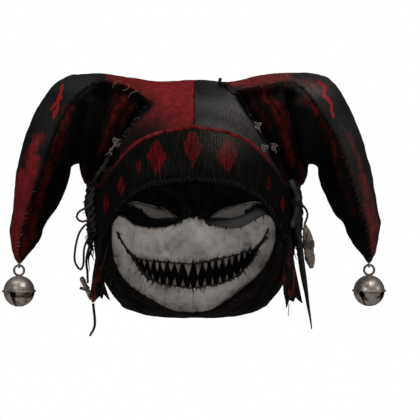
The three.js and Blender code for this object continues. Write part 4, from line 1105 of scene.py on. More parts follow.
# %% Cut the hat into halves
def on_head(points, out):
    """How near to the head's surface points are (1 on it, more outside) and their turns."""
    share = share_at(points[:, 2] / HEIGHT)
    wide = level(share, 1) * HALF_WIDTH + out
    front, back = level(share, 2) * FRONT + out, level(share, 3) * BACK + out
    x, y = points[:, 0] / wide, (points[:, 1] - (back - front) / 2) / ((back + front) / 2)
    turn = np.degrees(np.arctan2(bend(x, ROUND / 2), -bend(y, ROUND / 2)))
    return (np.abs(x) ** ROUND + np.abs(y) ** ROUND) ** (1 / ROUND), turn


near, turn = on_head(skin_points, CROWN_OUT)
below = skin_points[:, 2] < along(PIPING, turn, even=True) * HEIGHT - 0.0004
between_horns = (skin_points[:, 2] < -0.13) & (np.abs(skin_points[:, 0]) < 0.112)
drop = (near < 1.035) & below | between_horns
quads = np.array([list(p.vertices) for p in melted.polygons if len(p.vertices) == 4])
quads = quads[~drop[quads].any(axis=1)]
middles = skin_points[quads].mean(axis=1)
hats = {}
for side, sign, nodes, slot, felt_of_side in (
    ("left", -1, ["crown_left", "horn_left"], "red_cloth", outer_felt),
    ("right", 1, ["crown_right", "horn_right"], "black_cloth", satin_felt),
):
    chosen = middles[:, 0] < 0 if side == "left" else middles[:, 0] >= 0
    used, faces = np.unique(quads[chosen], return_inverse=True)
    faces = faces.reshape(-1, 4)
    points = skin_points[used].copy()
    points[points[:, 0] * sign < 0.0009, 0] = -0.0002 * sign
    marks = {label: values[used] for label, values in hat_marks.items()}
    if side == "left":
        marks["bright"] = marks["bright"] * (points[:, 0] < -0.001)
    hats[side] = piece(f"felt_hat_{side}", points, faces, felt_of_side, replaces=nodes, slot=slot,
                       marks=marks, wall=0.0021)
    hats[side].data.materials.append(shaded_fold_felt)
    turned_in = inside(INNER[side], *picture(points[faces].mean(axis=1)))
    hats[side].data.polygons.foreach_set("material_index", turned_in.astype(np.int32))
    print("hat", side, len(faces), "faces")
bpy.data.meshes.remove(melted)
hat_trees = [tree_of(hat) for hat in hats.values()]


def touch(column, row, lift):
    """The point of the hat behind a place in the picture, lifted off the cloth."""
    ray = ray_to(column, row)
    hits = [hit for hit in (tree.ray_cast(EYE, ray) for tree in hat_trees) if hit[0] is not None]
    if not hits:
        return None
    place, normal, _, _ = min(hits, key=lambda hit: hit[3])
    if normal.dot(ray) > 0:
        normal = -normal
    return np.array(place + normal * lift)


# %% [markdown]
# ## Hood
# The hood shows beside and under the face as dull dark cloth. It follows the head from the crown to the
# neck rim, with the face cut out, shallow creases and a turned hem at the rim.

# %% Hood
# The neck rim, as turn in degrees and share of the way down the head.
RIM = [[0, 0.915], [30, 0.885], [60, 0.815], [90, 0.755], [120, 0.70], [150, 0.665], [180, 0.65]]
FACE_HOLE = [[-41, -0.7742], [-34, -0.8387], [-22, -0.8911], [0, -0.9274], [22, -0.875], [34, -0.8065],
             [41, -0.7419]]
UNDER_CHIN = [(114, 262), (134, 292), (168, 312), (194, 316), (222, 310), (256, 288), (276, 258)]
turn = np.linspace(-180, 180, 216, endpoint=False)[:, None] + np.zeros(92)
rim = np.interp(np.abs(turn), *np.array(RIM).T)
down = np.linspace(0.05, 1, 92) + np.zeros(216)[:, None]
share = rim * np.sin(np.pi / 2 * down) ** 0.9
out = 0.0025 - 0.0030 * ease(share, 0.78, 0.90)
flat_points = layer(turn, share, out)
below_hat = ease(-flat_points[..., 2] / HEIGHT, 0.46, 0.56)
crease = lumps(flat_points * [1, 1, 0.6], 0.016, 5) * 0.0011 + lumps(flat_points, 0.005, 6) * 0.0003
hem = fading(down - 0.985, 0.012)
fold = hem * 0.0012 - fading(down - 0.955, 0.007) * 0.0007
points = layer(turn, share, out + below_hat * (crease * 0.8 + fold) - (1 - below_hat) * 0.0004)
column, row_ = picture(points)
height = points[..., 2] / HEIGHT
face_hole = (np.abs(turn) < 41) & (height < -0.5) & (height > along(FACE_HOLE, turn))
wear_and_sheen = 0.3 * ease(lumps(points * [1, 1, 2.2], 0.02, 7), 0.1, 0.7) * below_hat
# A painted sheen on the hood beside the right cheek.
wear_and_sheen += 0.35 * spot(column, row_, 281, 246, 7, 20)
chin_folds = np.sin(away(UNDER_CHIN, column, row_) * 0.9)
wear_and_sheen += 0.3 * below_hat * ease(chin_folds, 0.5, 1.0) * (row_ > 262)
wear_and_sheen += 0.5 * hem
# Painted shade down the sides of the face plate.
dark = 0.75 * fading(np.abs(turn) - 47, 5) * (height < -0.55)
hood = grid("cloth_hood", points, hood_cloth, wrap=True, keep=~face_hole, replaces=["hood"],
            slot="hood_cloth", marks={"wear_and_sheen": np.clip(wear_and_sheen, 0, 1), "shade": dark}, wall=0.0024)
print("hood", len(hood.data.polygons), "faces")

# %% [markdown]
# ## Knitted band, rolled hem and piping
# The band is rib knit: fine upright ribs all round. Real relief reads best at this size, so the ribs are in
# the mesh, about nine points across each. The diamonds are marks with the outline of each diamond. The
# lower edge is rolled and overcast with pale thread.

# %% Knitted band
RIB = 0.0031


def ribs(points, turn, sharp=0.8):
    run = np.radians(turn) * 0.108
    wave = np.abs(np.cos(np.pi * run / RIB)) ** sharp
    return wave, run


def band_top(turn):
    return along(PIPING, turn, even=True) - 0.0018 / HEIGHT


def band_low(turn):
    return along(ROLL, turn, even=True) + 0.0025 / HEIGHT


# Centre column and row, half width, reach up and reach down, strength.
DIAMONDS = [
    (192.5, 147, 10.2, 22, 21, 1.0),
    (157.3, 156.5, 10.8, 19.0, 20.5, 1.0),
    (227, 155.5, 10.8, 21.0, 18.5, 1.0),
    (139.5, 166, 3.4, 10, 9, 0.62),
    (122.5, 187, 4.8, 12, 10, 0.95),
    (107.5, 203, 3.4, 12, 13, 0.9),
    (257, 178, 2.4, 9, 9, 0.6),
    (267.5, 184, 3.4, 12, 9, 0.72),
    (281, 204, 3.0, 8, 9, 0.85),
]
turn, down, height, share = patch(-63.5, 63.5, 720, 38, band_top, band_low)
flat_points = layer(turn, share, LAYER + 0.0026)
column, row_ = picture(flat_points)
wave, run = ribs(flat_points, turn)
purl = np.cos(2 * np.pi * flat_points[..., 2] / 0.0024 + np.pi * np.round(run / RIB))
edge = np.minimum(down, 1 - down)
out = LAYER + 0.0024 + 0.0012 * wave + 0.00022 * purl * wave - 0.0012 * (1 - ease(edge, 0, 0.05))
out += lumps(flat_points, 0.03, 8) * 0.0008
points = layer(turn, share, out)
red = np.zeros(turn.shape)
for c, r, half, up, low, strength in DIAMONDS:
    reach = np.where(row_ < r, up, low)
    d = np.abs(column - c) / half + np.abs(row_ - r) / reach
    cut = 1.0 if c != 192.5 else ease(row_, 131.5, 133.5)
    red = np.maximum(red, strength * (1 - ease(d, 0.86, 1.12)) * cut)
fray = ease(lumps(flat_points * [1, 1, 0.25], 0.003, 9), -0.2, 0.5)
red = np.where(red < 0.9, red * (0.72 + 0.28 * fray), red)
# Painted shade between the ribs and towards both ends of the band, and a painted sheen right of the middle.
groove = (1 - wave) ** 2
wear_and_sheen = 0.9 * spot(column, row_, 226, 140, 26, 14) * (0.4 + 0.6 * wave)
far = np.maximum(ease(-column, -165, -105), ease(column, 225, 275))
dark = np.clip(0.85 * groove + 0.7 * far * (1 - red), 0, 0.95)
shine = 0.9 * ease(column, 190, 215) * (1 - ease(row_, 150, 172))
knit_band = grid("knitted_band", points, knit, replaces=["knit_band"], slot="black_knit",
                 marks={"red": red, "wear_and_sheen": wear_and_sheen, "shade": dark, "gloss": shine}, wall=0.0015)
print("band", len(knit_band.data.polygons), "faces")

# %% Rolled hem with overcast thread
ROLL_R = 0.0032
roll_turns = np.linspace(-62, 62, 700)
roll_line = layer(roll_turns, share_at(along(ROLL, roll_turns, even=True)), LAYER + ROLL_R + 0.0001)
run = np.concatenate([[0], np.cumsum(np.linalg.norm(np.diff(roll_line, axis=0), axis=1))])
swell = ROLL_R * (0.93 + 0.10 * np.abs(np.cos(np.pi * run / RIB)) + 0.06 * np.cos(2 * np.pi * run / 0.019))
points, faces = rope_mesh(roll_line, swell, sides=16)
ridge = np.concatenate([np.repeat(1 - np.abs(np.cos(np.pi * run / RIB)), 16), [0, 0]])
column, row_ = picture(points)
# Painted shade all over the roll, deepest between its ribs, and a faint painted highlight on their crests.
piece("rolled_hem", points, faces, knit, replaces=["band_roll"], slot="black_knit",
      marks={"shade": 0.45 + 0.5 * ridge, "wear_and_sheen": 0.12 * (1 - ridge),
             "red": 0 * ridge, "gloss": 0 * ridge})

rng = np.random.default_rng(7)
stitches = []
for k in range(30, 670, 10):
    at = roll_line[k] + 0
    c, _ = picture(at)
    strong = 1.0 if 132 < c < 258 else 0.0
    if rng.random() < (0.12 if strong else 0.6):
        continue
    ahead = roll_line[k + 1] - roll_line[k - 1]
    ahead /= np.linalg.norm(ahead)
    front = np.array([at[0], at[1], 0]) * [1, 1, 0]
    front /= np.linalg.norm(front)
    up = np.cross(front, ahead)
    up *= np.sign(up[2])
    a = np.radians(np.linspace(-10 + rng.uniform(-8, 8), 125 + rng.uniform(-10, 10), 9))
    slant = rng.uniform(0.4, 0.8) * ROLL_R
    rise = front * np.sin(a)[:, None] + up * np.cos(a)[:, None]
    line = at + rise * (ROLL_R * 1.13) + ahead * slant * np.linspace(-1, 1, 9)[:, None]
    stitches.append(rope_mesh(smooth_line(line, 12), 0.00042 + 0.00022 * rng.random(), sides=6))
points, faces = joined(stitches)
piece("roll_stitches", points, faces, overlock, slot="cord")

# %% Piping
piping_turns = np.linspace(-180, 180, 720, endpoint=False)
ring = layer(piping_turns, share_at(along(PIPING, piping_turns, even=True)), LAYER + 0.0032)
run = np.arange(720) * np.linalg.norm(ring[1] - ring[0])
ring = ring + lumps(ring, 0.014, 10)[:, None] * [0, 0, 0.0004]
closed = np.vstack([ring, ring[:1]])
rings = rope_points(closed, 0.0022, sides=12, strands=2, twist=90.0, first=(0, 0, 1))[:-1]
points = rings.reshape(-1, 3)
column, _ = picture(points)
worn = 0.35 * ease(lumps(points, 0.006, 11), -0.3, 0.4)
shadow = 0.8 * ease(np.abs(column - 193), 64, 84)
piece("red_piping", points, grid_faces(720, 12, True, True), rag_felt, replaces=["piping"],
      slot="red_cloth", marks={"red": 1, "bright": 0, "wear_and_sheen": worn, "shade": shadow, "gloss": 0})

# %% [markdown]
# ## Brow
# Between the hem and the eyes a black ribbed brow hangs forward and frowns in a deep V. The frown is a
# ridge on the head form with furrows pressed in along a few lines.

# %% Brow
def brow_top(turn):
    return along(ROLL, turn, even=True) - (ROLL_R + 0.0002) / HEIGHT


def brow_low(turn):
    middle = along(PLATE_TOP, turn) + 0.0006 / HEIGHT
    lids = along(EYE_TOP, -np.abs(turn), 1.0) + 0.0004 / HEIGHT
    low = np.where(np.abs(turn) < 4.7, middle, lids)
    return np.minimum(low, brow_top(turn) - 0.0024)


FURROWS = [
    ([(195, 215), (190, 200), (184, 188)], 3.0, -0.0022),
    ([(198, 215), (204, 200), (212, 188)], 3.0, -0.0022),
    ([(180, 213), (172, 203), (158, 196)], 3.2, -0.0020),
    ([(210, 214), (220, 204), (234, 198)], 3.2, -0.0020),
    ([(194, 212), (194, 196)], 2.0, 0.0016),
    ([(186, 212), (178, 200), (166, 192)], 2.4, 0.0018),
    ([(204, 212), (212, 200), (224, 193)], 2.4, 0.0018),
]
turn, down, height, share = patch(-34, 34, 420, 50, brow_top, brow_low)
swing = np.exp(-((turn / 16) ** 2))
base = LAYER + 0.0026 + 0.009 * (0.39 + 0.61 * swing) * down * (1.25 - down * 0.5)
flat_points = layer(turn, share, base)
column, row_ = picture(flat_points)
out = base.copy()
dark = np.zeros(turn.shape)
for line, half, deep in FURROWS:
    near = np.exp(-((away(line, column, row_) / half) ** 2))
    out += deep * near
    dark += 0.5 * near if deep < 0 else 0
wave, run = ribs(flat_points, turn)
out += 0.0008 * wave + lumps(flat_points, 0.009, 12) * 0.0006
points = layer(turn, share, out)
# A painted highlight on the ribs low in the middle; painted shade in the furrows and between the ribs, and
# darker all over.
lit = 0.22 * wave * ease(down, 0.55, 0.95) * np.exp(-((turn / 9) ** 2))
dark = np.clip(0.7 + 0.2 * (1 - wave) + dark - 0.9 * lit, 0, 0.97)
brow = grid("frowning_brow", points, brow_wool, replaces=["brow_panel"], slot="black_knit",
            marks={"shade": dark, "wear_and_sheen": lit, "red": 0, "gloss": 0}, wall=0.0014)

# %% [markdown]
# ## Painted face
# The face is a thin shell with a soft nose, cheeks and chin. The paint is drawn on as marks: ragged
# upright strokes round the mouth, smile lines to both cheeks, fine cracks, lumps of dirt, and painted shade
# along the rim, under the brow and on the right side.
# The mouth is a real opening: the faces inside its ragged outline are left out.

# %% Face plate
def plate_top(turn):
    return along(PLATE_TOP, turn, 1.2)


# The ragged lips as columns and rows of the picture.
LIP_TOP = [(133, 256.5), (136, 257.5), (144, 260), (161, 262), (191, 264), (205, 262), (219, 259),
           (235, 255), (249, 251), (257, 247)]
LIP_LOW = [(133, 257), (136, 259.5), (144, 271), (152, 278), (161, 283), (191, 287.5), (219, 283),
           (235, 276), (249, 263), (257, 248)]


def lip(line, column):
    return np.interp(column, *np.array(line).T)


# The edge of the plate round the cheeks and the chin, as columns and rows of the picture.
PLATE_EDGE = [(121, 204), (118.2, 212.4), (113.9, 228.2), (113.3, 237.9), (114.6, 252.8), (117.8, 263),
              (122.8, 275.4), (133.6, 286.8), (147.3, 295.4), (159.8, 302.5), (168.6, 307.2), (180, 310),
              (193, 310.6), (206, 309.6), (216, 305.5), (229.5, 297), (244, 285), (257.3, 274), (267, 260.2),
              (272.6, 245.1), (273.9, 230.6), (272.7, 218.5), (269.7, 208.8), (268, 202)]
# Swellings of the face: how far out, turn, height, width and reach (nose, cheeks, chin, nostrils, lip).
SWELLS = [(0.006, 0.5, -0.677, 5.5, 0.052), (0.003, -26, -0.685, 12, 0.048), (0.003, 26, -0.677, 12, 0.048),
          (0.0035, 0, -0.92, 14, 0.036), (0.0016, -4.5, -0.694, 3.0, 0.016),
          (0.0016, 5.0, -0.694, 3.0, 0.016),
          (-0.0014, 0, -0.735, 4.0, 0.014)]


def form_of_face(turn, height):
    """How far nose, cheeks, chin and nostrils stand out from the even face."""
    return sum(out * spot(turn, height, *place) for out, *place in SWELLS)


def plate_point(turn, height):
    return layer(turn, share_at(height), LAYER + 0.003 + form_of_face(turn, height))


tried_turns = np.linspace(-52, 52, 209)
tried = np.linspace(-0.6, -0.985, 640)
turn, height = np.meshgrid(tried_turns, tried, indexing="ij")
within = inside(PLATE_EDGE, *picture(plate_point(turn, height)))
reached = np.where(within, height, 0).min(axis=1)
used = np.flatnonzero(within.sum(axis=1) > 4)
first, last = tried_turns[used[0]], tried_turns[used[-1]]
low_edge = np.convolve(np.pad(reached[used], 5, mode="edge"), np.ones(11) / 11, "valid")
low_edge = np.minimum(low_edge, plate_top(tried_turns[used]) - 0.004)
turn, down, height, share = patch(first, last, 270, 138, plate_top,
                                  lambda a: np.interp(a, tried_turns[used], low_edge))
relief = form_of_face(turn, height)
flat_points = layer(turn, share, LAYER + 0.003 + relief)
column, row_ = picture(flat_points)
mouth_top, mouth_low = lip(LIP_TOP, column), lip(LIP_LOW, column)
beyond = np.maximum(np.maximum(LIP_TOP[0][0] - column, column - LIP_TOP[-1][0]), 0)
chipped = lumps(np.stack([column / 1000, blank(turn), blank(turn)], -1), 0.0018, 13)
mouth = (row_ > mouth_top + chipped) & (row_ < mouth_low + chipped) & (beyond <= 0)

rng = np.random.default_rng(11)
to_mouth = np.maximum(mouth_top - row_, row_ - mouth_low) + 1.2 * beyond
ink = 1 - ease(to_mouth, 0.2, 2.6)


def stroke(line, half, strength=1.0, fade=False):
    global ink
    half = 1.3 * half
    d = away(line, column, row_)
    width = half
    if fade:
        (a, b), (c, e) = line[0], line[-1]
        f = ((column - a) * (c - a) + (row_ - b) * (e - b)) / ((c - a) ** 2 + (e - b) ** 2 + 1e-9)
        width = half * (1 - 0.75 * np.clip(f, 0, 1))
    ink = np.maximum(ink, strength * (1 - ease(d, 0.35 * width, 1.1 * width + 0.25)))


for at in np.linspace(LIP_TOP[0][0] + 0.5, LIP_TOP[-1][0] - 0.5, 150) + rng.uniform(-0.4, 0.4, 150):
    for line, way in ((LIP_TOP, -1), (LIP_LOW, 1)):
        start = lip(line, at)
        corner = ease(abs(at - 194), 30, 60)
        long = rng.gamma(1.5, 1.7 + 1.3 * corner) + 0.9
        lean = rng.uniform(-0.25, 0.25) + 0.010 * (at - 194)
        end = (at + lean * long, start + way * long)
        stroke([(at, start - way), end], rng.uniform(0.45, 0.95), rng.uniform(0.7, 1.0), True)
for line, half in (
    ([(140, 260), (134, 255.5), (129, 250)], 2.1),
    ([(130, 251), (126, 245.5), (122, 239), (119, 233)], 1.5),
    ([(119.5, 233.5), (118.2, 231), (119.8, 239)], 0.9),
    ([(118.4, 231.6), (124.0, 235.0)], 0.9),
    ([(134, 255), (129, 250), (125, 245)], 1.0),
    ([(250, 253), (255, 247.5), (259, 243)], 2.0),
    ([(258, 244), (262, 238.5), (265, 233), (266.9, 228.5)], 1.4),
    ([(254, 252), (261, 244), (265.5, 237)], 0.95),
    ([(266.7, 228), (267.3, 233)], 0.8),
    ([(269, 234), (264.5, 243)], 0.7),
    ([(137, 262), (143, 272), (150, 279)], 1.6),
    ([(246, 266), (251, 260), (255, 252)], 1.6),
    ([(193.5, 290), (193.2, 297)], 0.6),
    ([(192.8, 296), (193.4, 308)], 0.35),
    ([(178, 231), (180, 236)], 0.35),
    ([(136, 270), (135.5, 275)], 0.4),
    ([(154, 282), (150, 287)], 0.4),
):
    stroke(line, half, 1.0)
CRACKS = [
    [(136, 233), (134.5, 238), (133.5, 244)], [(139, 213), (140, 219), (142.5, 224), (143, 230)],
    [(121, 246), (123, 251)], [(165, 243), (166, 247)], [(256, 222), (259, 226), (258, 231)],
    [(247, 232), (250, 236)], [(131, 268), (128.5, 273)], [(166, 296), (165, 301), (168, 304)],
    [(222, 292), (226, 287)], [(236, 279), (241, 274), (243, 269)], [(262, 250), (266, 244)],
    [(127, 222), (130, 227), (129, 231)], [(212, 300), (213, 295)], [(151, 290), (156, 294)],
    [(205, 236), (206, 239)],
]
for line in CRACKS:
    stroke(line, rng.uniform(0.3, 0.45), rng.uniform(0.75, 1.0))
for _ in range(330):
    c, r = rng.uniform(114, 274), rng.uniform(216, 308)
    a, long = rng.normal(math.pi / 2, 0.6), rng.gamma(1.1, 1.0)
    near_rim = 1.0 if abs(c - 194) > 55 or r > 285 or r < 230 else 0.6
    end = (c + math.cos(a) * long, r + math.sin(a) * long)
    stroke([(c, r), end], rng.uniform(0.24, 0.46), near_rim * rng.uniform(0.4, 0.95))

for _ in range(90):
    at = rng.uniform(120, 268)
    top_row = row_[np.argmin(np.abs(column[:, 0] - at)), 0]
    long = rng.gamma(1.3, 1.5) + 0.8
    end = (at + rng.uniform(-0.8, 0.8), top_row + long)
    stroke([(at, top_row), end], rng.uniform(0.4, 0.9), rng.uniform(0.6, 1.0), True)
for at in np.linspace(177, 212, 34) + rng.uniform(-0.6, 0.6, 34):
    top_row = row_[np.argmin(np.abs(column[:, 0] - at)), 0]
    long = rng.gamma(2.0, 1.6) + 1.0
    end = (at + rng.uniform(-0.5, 0.5), top_row + long)
    stroke([(at, top_row - 0.5), end], 0.8, rng.uniform(0.7, 1.0), True)
for _ in range(70):
    k = rng.integers(4, len(PLATE_EDGE) - 5)
    (c, r), (c2, r2) = PLATE_EDGE[k], PLATE_EDGE[k + 1]
    f, long = rng.random(), rng.gamma(1.5, 1.8)
    c, r = c + (c2 - c) * f, r + (r2 - r) * f
    a = math.atan2(245 - r, 194 - c) + rng.normal(0, 0.5)
    end = (c + math.cos(a) * long, r + math.sin(a) * long)
    stroke([(c, r), end], rng.uniform(0.3, 0.8), rng.uniform(0.5, 1.0), True)

rim_gap = away(PLATE_EDGE, column, row_)
top_gap = (plate_top(turn) - height) * HEIGHT / STEP
# Painted shade along the rim, on the right side and along the edge under the brow; grey round the mouth and
# dirt in lumps.
dirt_and_shade = 0.55 * np.exp(-rim_gap / 2.2) + 0.14 * np.exp(-rim_gap / 13.0) + 0.24 * ease(column, 203, 248)
dirt_and_shade = np.maximum(dirt_and_shade, 0.85 * (1 - ease(top_gap, 0.3, 3.2)))
ragged = lumps(flat_points * [1, 1, 0.35], 0.0016, 14)
ink = np.maximum(ink, 1 - ease(top_gap + 2.0 * ragged * (np.abs(turn) < 12), 0.2, 1.6))
dirt_and_shade = np.maximum(dirt_and_shade, 0.35 * (1 - ease(to_mouth, 1.5, 8.0)))
dirt_and_shade += 0.26 * ease(lumps(flat_points, 0.018, 15), 0.0, 0.6)
dirt_and_shade += 0.2 * ease(lumps(flat_points, 0.006, 17), 0.1, 0.6)
dirt_and_shade += 0.05 * spot(column, row_, 197, 240, 20, 14)
relief -= 0.0005 * ink
points = layer(turn, share, LAYER + 0.003 + relief)
face = grid("painted_face", points, face_paint, keep=~mouth, replaces=["face_plate"], slot="face_white",
            marks={"ink": ink, "dirt_and_shade": np.clip(dirt_and_shade, 0, 0.9)}, wall=0.0026)
print("face", len(face.data.polygons), "faces")

# %% [markdown]
# ## Mouth and teeth
# Behind the opening is a dark curved backing. The teeth are separate cones, flattened and slightly bent,
# uneven like a saw: long fangs in the middle above, short ones below.

# %% Mouth backing
# Upper and lower lips on the head, as turn in degrees and height as a share.
MOUTH_TOP = [[-36, -0.7097], [-33, -0.7238], [-22, -0.746], [-11, -0.7621], [-5, -0.7681], [0, -0.7823],
             [5, -0.7681], [11, -0.7621], [21, -0.746], [29, -0.7177], [36, -0.6815]]
MOUTH_LOW = [[-36, -0.7157], [-33, -0.7359], [-29, -0.7621], [-24, -0.7984], [-15, -0.8488], [-7, -0.871],
             [1, -0.877], [9, -0.869], [17, -0.8448], [25, -0.8024], [31, -0.7621], [36, -0.6895]]
BEYOND_LIPS = 0.035
turn, down, height, share = patch(-40, 40, 110, 20, lambda a: along(MOUTH_TOP, a) + BEYOND_LIPS,
                                  lambda a: along(MOUTH_LOW, a) - BEYOND_LIPS)
uneven = lumps(np.stack([turn / 400, down / 40, blank(turn)], -1), 0.004, 16) * 0.0005
grid("mouth_backing", layer(turn, share, uneven - 0.0008), mouth_black, replaces=["mouth_panel"],
     slot="eye_gloss", wall=0.0018, marks={"painted_sheen": 0})


# %% Teeth
def tooth_mesh(turn, root, tip, half, lean, seed):
    """A pointed tooth from root to tip height, both as shares of the head's height."""
    levels, sides = 12, 12
    points, tone = [], []
    for k in range(levels):
        f = k / (levels - 1)
        height = root + (tip - root) * f
        centre = layer(turn + lean * f, share_at(height), 0.0012 + 0.0016 * math.sin(math.pi * f * 0.7))
        width = half * 1.28 * (1 - f) ** 0.85 * (0.92 + 0.14 * math.sin(seed + 5 * f)) + 0.00012
        out = layer(turn, share_at(height), 0.01) - layer(turn, share_at(height), 0.0)
        out /= np.linalg.norm(out)
        side = np.cross((0, 0, 1), out)
        side /= np.linalg.norm(side)
        a = np.linspace(0, 2 * np.pi, sides, endpoint=False)
        points.append(centre + (np.cos(a) * width)[:, None] * side + (np.sin(a) * width * 0.7)[:, None] * out)
        # Painted shade on the sides of each tooth and at its root; the tip goes darker too.
        base_tone = 0.95 - 0.8 * math.sin(math.pi * min(1.0, 0.14 + 0.7 * f)) ** 2
        tone += list(np.clip(base_tone + 0.55 * np.abs(np.cos(a)) ** 3, 0, 0.96))
    points, faces = closed_tube(np.array(points))
    return points, faces, tone + [0.9, 0.3]


def face_place(column, row, out=0.002):
    """The turn and the height on the face form of a place in the picture."""
    depth, turn, height = -0.1, 0.0, 0.0
    for _ in range(5):
        spot = seen(column, row, depth)
        height = spot.z / HEIGHT
        share = share_at(height)
        wide = float(level(share, 1)) * HALF_WIDTH + out
        turn = math.degrees(math.asin(float(bend(spot.x / wide, ROUND / 2))))
        depth = float(layer(turn, share, out)[1])
    return turn, height


# Column of the tip, length and half width of each tooth, in steps of the picture.
UPPER = [(139.5, 4, 2.2), (145, 7, 2.7), (151, 9, 3.0), (157.5, 10, 3.0), (164, 9.5, 3.2), (171, 9, 3.1),
         (178.5, 10, 3.4), (188.5, 13.5, 3.9), (198, 13, 3.9), (206, 9.5, 3.3), (212.5, 9, 3.0),
         (219, 10, 3.1), (225.5, 10, 3.0), (232, 9.5, 2.9), (238.5, 8.5, 2.7), (244.5, 6.5, 2.4),
         (249.5, 4, 2.0)]
LOWER = [(147, 4.5, 2.0), (153, 6, 2.3), (160, 7, 2.6), (167, 8, 2.7), (175, 8, 2.9), (183, 7.5, 2.8),
         (190.5, 5.5, 2.4), (197.5, 8, 2.8), (205, 7.5, 2.7), (212.5, 7.5, 2.7), (220, 7, 2.6),
         (227, 6.5, 2.4), (234, 5.5, 2.3), (240.5, 4.5, 2.0)]
rng = np.random.default_rng(21)
for name, table, line, way in (("upper_teeth", UPPER, LIP_TOP, 1), ("lower_teeth", LOWER, LIP_LOW, -1)):
    meshes, tones = [], []
    for k, (column, long, half) in enumerate(table):
        lean = rng.uniform(-0.9, 0.9)
        turn, root = face_place(column - lean, lip(line, column) - way * 5)
        tip_turn, tip = face_place(column, lip(line, column) + way * long)
        meshes.append(tooth_mesh(turn, root, tip, half * STEP * rng.uniform(0.92, 1.08), tip_turn - turn, k))
        tones += [min(0.97, tone + (0.0 if way > 0 else 0.14)) for tone in meshes[-1][2]]
    points, faces = joined([m[:2] for m in meshes])
    piece(f"{name}_fangs", points, faces, tooth, replaces=[name], slot="tooth", marks={"shade": tones})
print("teeth", len(UPPER), "above and", len(LOWER), "below")

# %% [markdown]
# ## Eyes
# Under the frown each eye is a pale grainy screen in a black glossy dish. The dish shows as a crescent
# below the screen; a hair-fine pale crease runs above it.

# %% Eyes
# A black smear crosses the outer end of each screen: columns and rows of the picture.
SMUDGES = {"left": [(127, 208), (133, 208.5), (139, 211.5), (144, 216)],
           "right": [(264, 205), (256, 207.5), (248, 212)]}
eye_parts = []
for side, name in ((-1, "left"), (1, "right")):
    def across(line, turn, soft=1.0, side=side):
        return along(line, turn if side < 0 else -turn, soft)

    a, b = (-41.2, -4.6) if side < 0 else (4.6, 41.2)
    turn, down, height, share = patch(a, b, 90, 30, lambda x: across(EYE_TOP, x) + 0.004,
                                      lambda x: plate_top(x) - 0.004)
    round_it = np.sin(np.pi * np.clip(down, 0, 1)) ** 0.7 * np.sin(np.pi * (turn - a) / (b - a)) ** 0.5
    points = layer(turn, share, LAYER + 0.0026 - 0.0019 * round_it)
    # A painted grey sheen across the right dish.
    painted_sheen = 0.0 if side < 0 else 0.5 * np.sin(np.pi * (turn - a) / (b - a)) ** 0.6 * ease(down, 0.25, 0.7)
    dish = grid(f"eye_dish_{name}", points, mouth_black if side < 0 else gloss,
                replaces=[f"eye_socket_{name}"], slot="eye_gloss", wall=0.0012,
                marks={"painted_sheen": painted_sheen + 0 * turn})

    a, b = (-36.5, -7.0) if side < 0 else (7.0, 36.5)
    turn, down, height, share = patch(a, b, 120, 30, lambda x: across(LENS_TOP, x) + 0.003,
                                      lambda x: across(LENS_LOW, x) - 0.0035)
    uneven = lumps(np.stack([turn / 500, down / 60, blank(turn)], -1), 0.006, 18) * 0.0005
    out = LAYER + 0.0034 + 0.0016 * np.sin(np.pi * down) + uneven
    points = layer(turn, share, out)
    outer = turn - a if side < 0 else b - turn
    inner = b - turn if side < 0 else turn - a
    torn = lumps(points * [1, 1, 2.2], 0.0035, 25)
    dark = 0.97 * (1 - ease(outer + 2.0 * torn, 0.0, 2.5))
    dark = np.maximum(dark, 0.9 * (1 - ease(inner, 0, 3.0)))
    pointed = 2 * np.abs(down - 0.5) - np.minimum(1.0, (inner + 1.0) / 13.0)
    dark = np.maximum(dark, 0.93 * ease(pointed, -0.12, 0.08))
    # Painted shade along the top of the screen, under the lid.
    dark = np.maximum(dark, 0.92 * (1 - ease(down + 0.2 * torn, 0.02, 0.24)))
    smudge = away(SMUDGES[name], *picture(points)) + 1.6 * torn
    dark = np.maximum(dark, 0.98 * (1 - ease(smudge, 3.0, 4.4)))
    dark = np.clip(np.maximum(dark, 0.8 * ease(down, 0.86, 1.0)), 0, 0.98)
    mesh_screen = grid(f"eye_mesh_{name}", points, screen, replaces=[f"eye_screen_{name}"], slot="eye_mesh",
                       marks={"shade": dark}, wall=0.001)
    eye_parts += [dish, mesh_screen]

# %% [markdown]
# ## Creases round the eyes
# Pale hairlines follow the lids. They are thin tubes laid on whatever the camera sees there, brow or eye.

# %% Fine creases round the eyes
carriers = [tree_of(part) for part in (brow, *eye_parts)]
CREASES = [
    [(129, 203), (135, 201.5), (143, 203.5), (151, 205.5), (159, 207.2)],
    [(160, 206.5), (166, 210), (172, 214), (178, 217.5)],
    [(164, 210), (170, 214.5), (175, 218)],
    [(211, 217.5), (217, 212.5), (224, 208.5), (233, 206)],
    [(215, 217), (221, 211.5), (230, 208.5)],
    [(233, 206), (243, 204), (252, 202), (261, 203)],
]
meshes = []
for line in CREASES:
    fine = smooth_line(line, 16)
    path = []
    for c, r in fine:
        hits = [hit for hit in (tree.ray_cast(EYE, ray_to(c, r))[0] for tree in carriers) if hit is not None]
        here = min(hits, key=lambda hit: (hit - EYE).length) if hits else seen(c, r, -0.104)
        path.append(np.array(here) + (0, -0.0019, 0))
    path = np.array(path)
    even = np.convolve(np.pad(path[:, 1], 3, mode="edge"), np.ones(7) / 7, "valid")
    path[:, 1] = np.minimum(path[:, 1], even)
    radius = 0.00045 * np.sin(np.pi * np.linspace(0.08, 0.92, len(path))) ** 0.6
    meshes.append(rope_mesh(path, radius, sides=6))
points, faces = joined(meshes)
piece("eye_creases", points, faces, thread, slot="cord")

# %% [markdown]
# ## Laces, knots and stitches on the hat
# A pale cord laces the crown to the horns; it lies pressed on the cloth and is knotted twice on each side.
# Casting a ray from the camera finds the cloth behind each place, so the cord can't float.


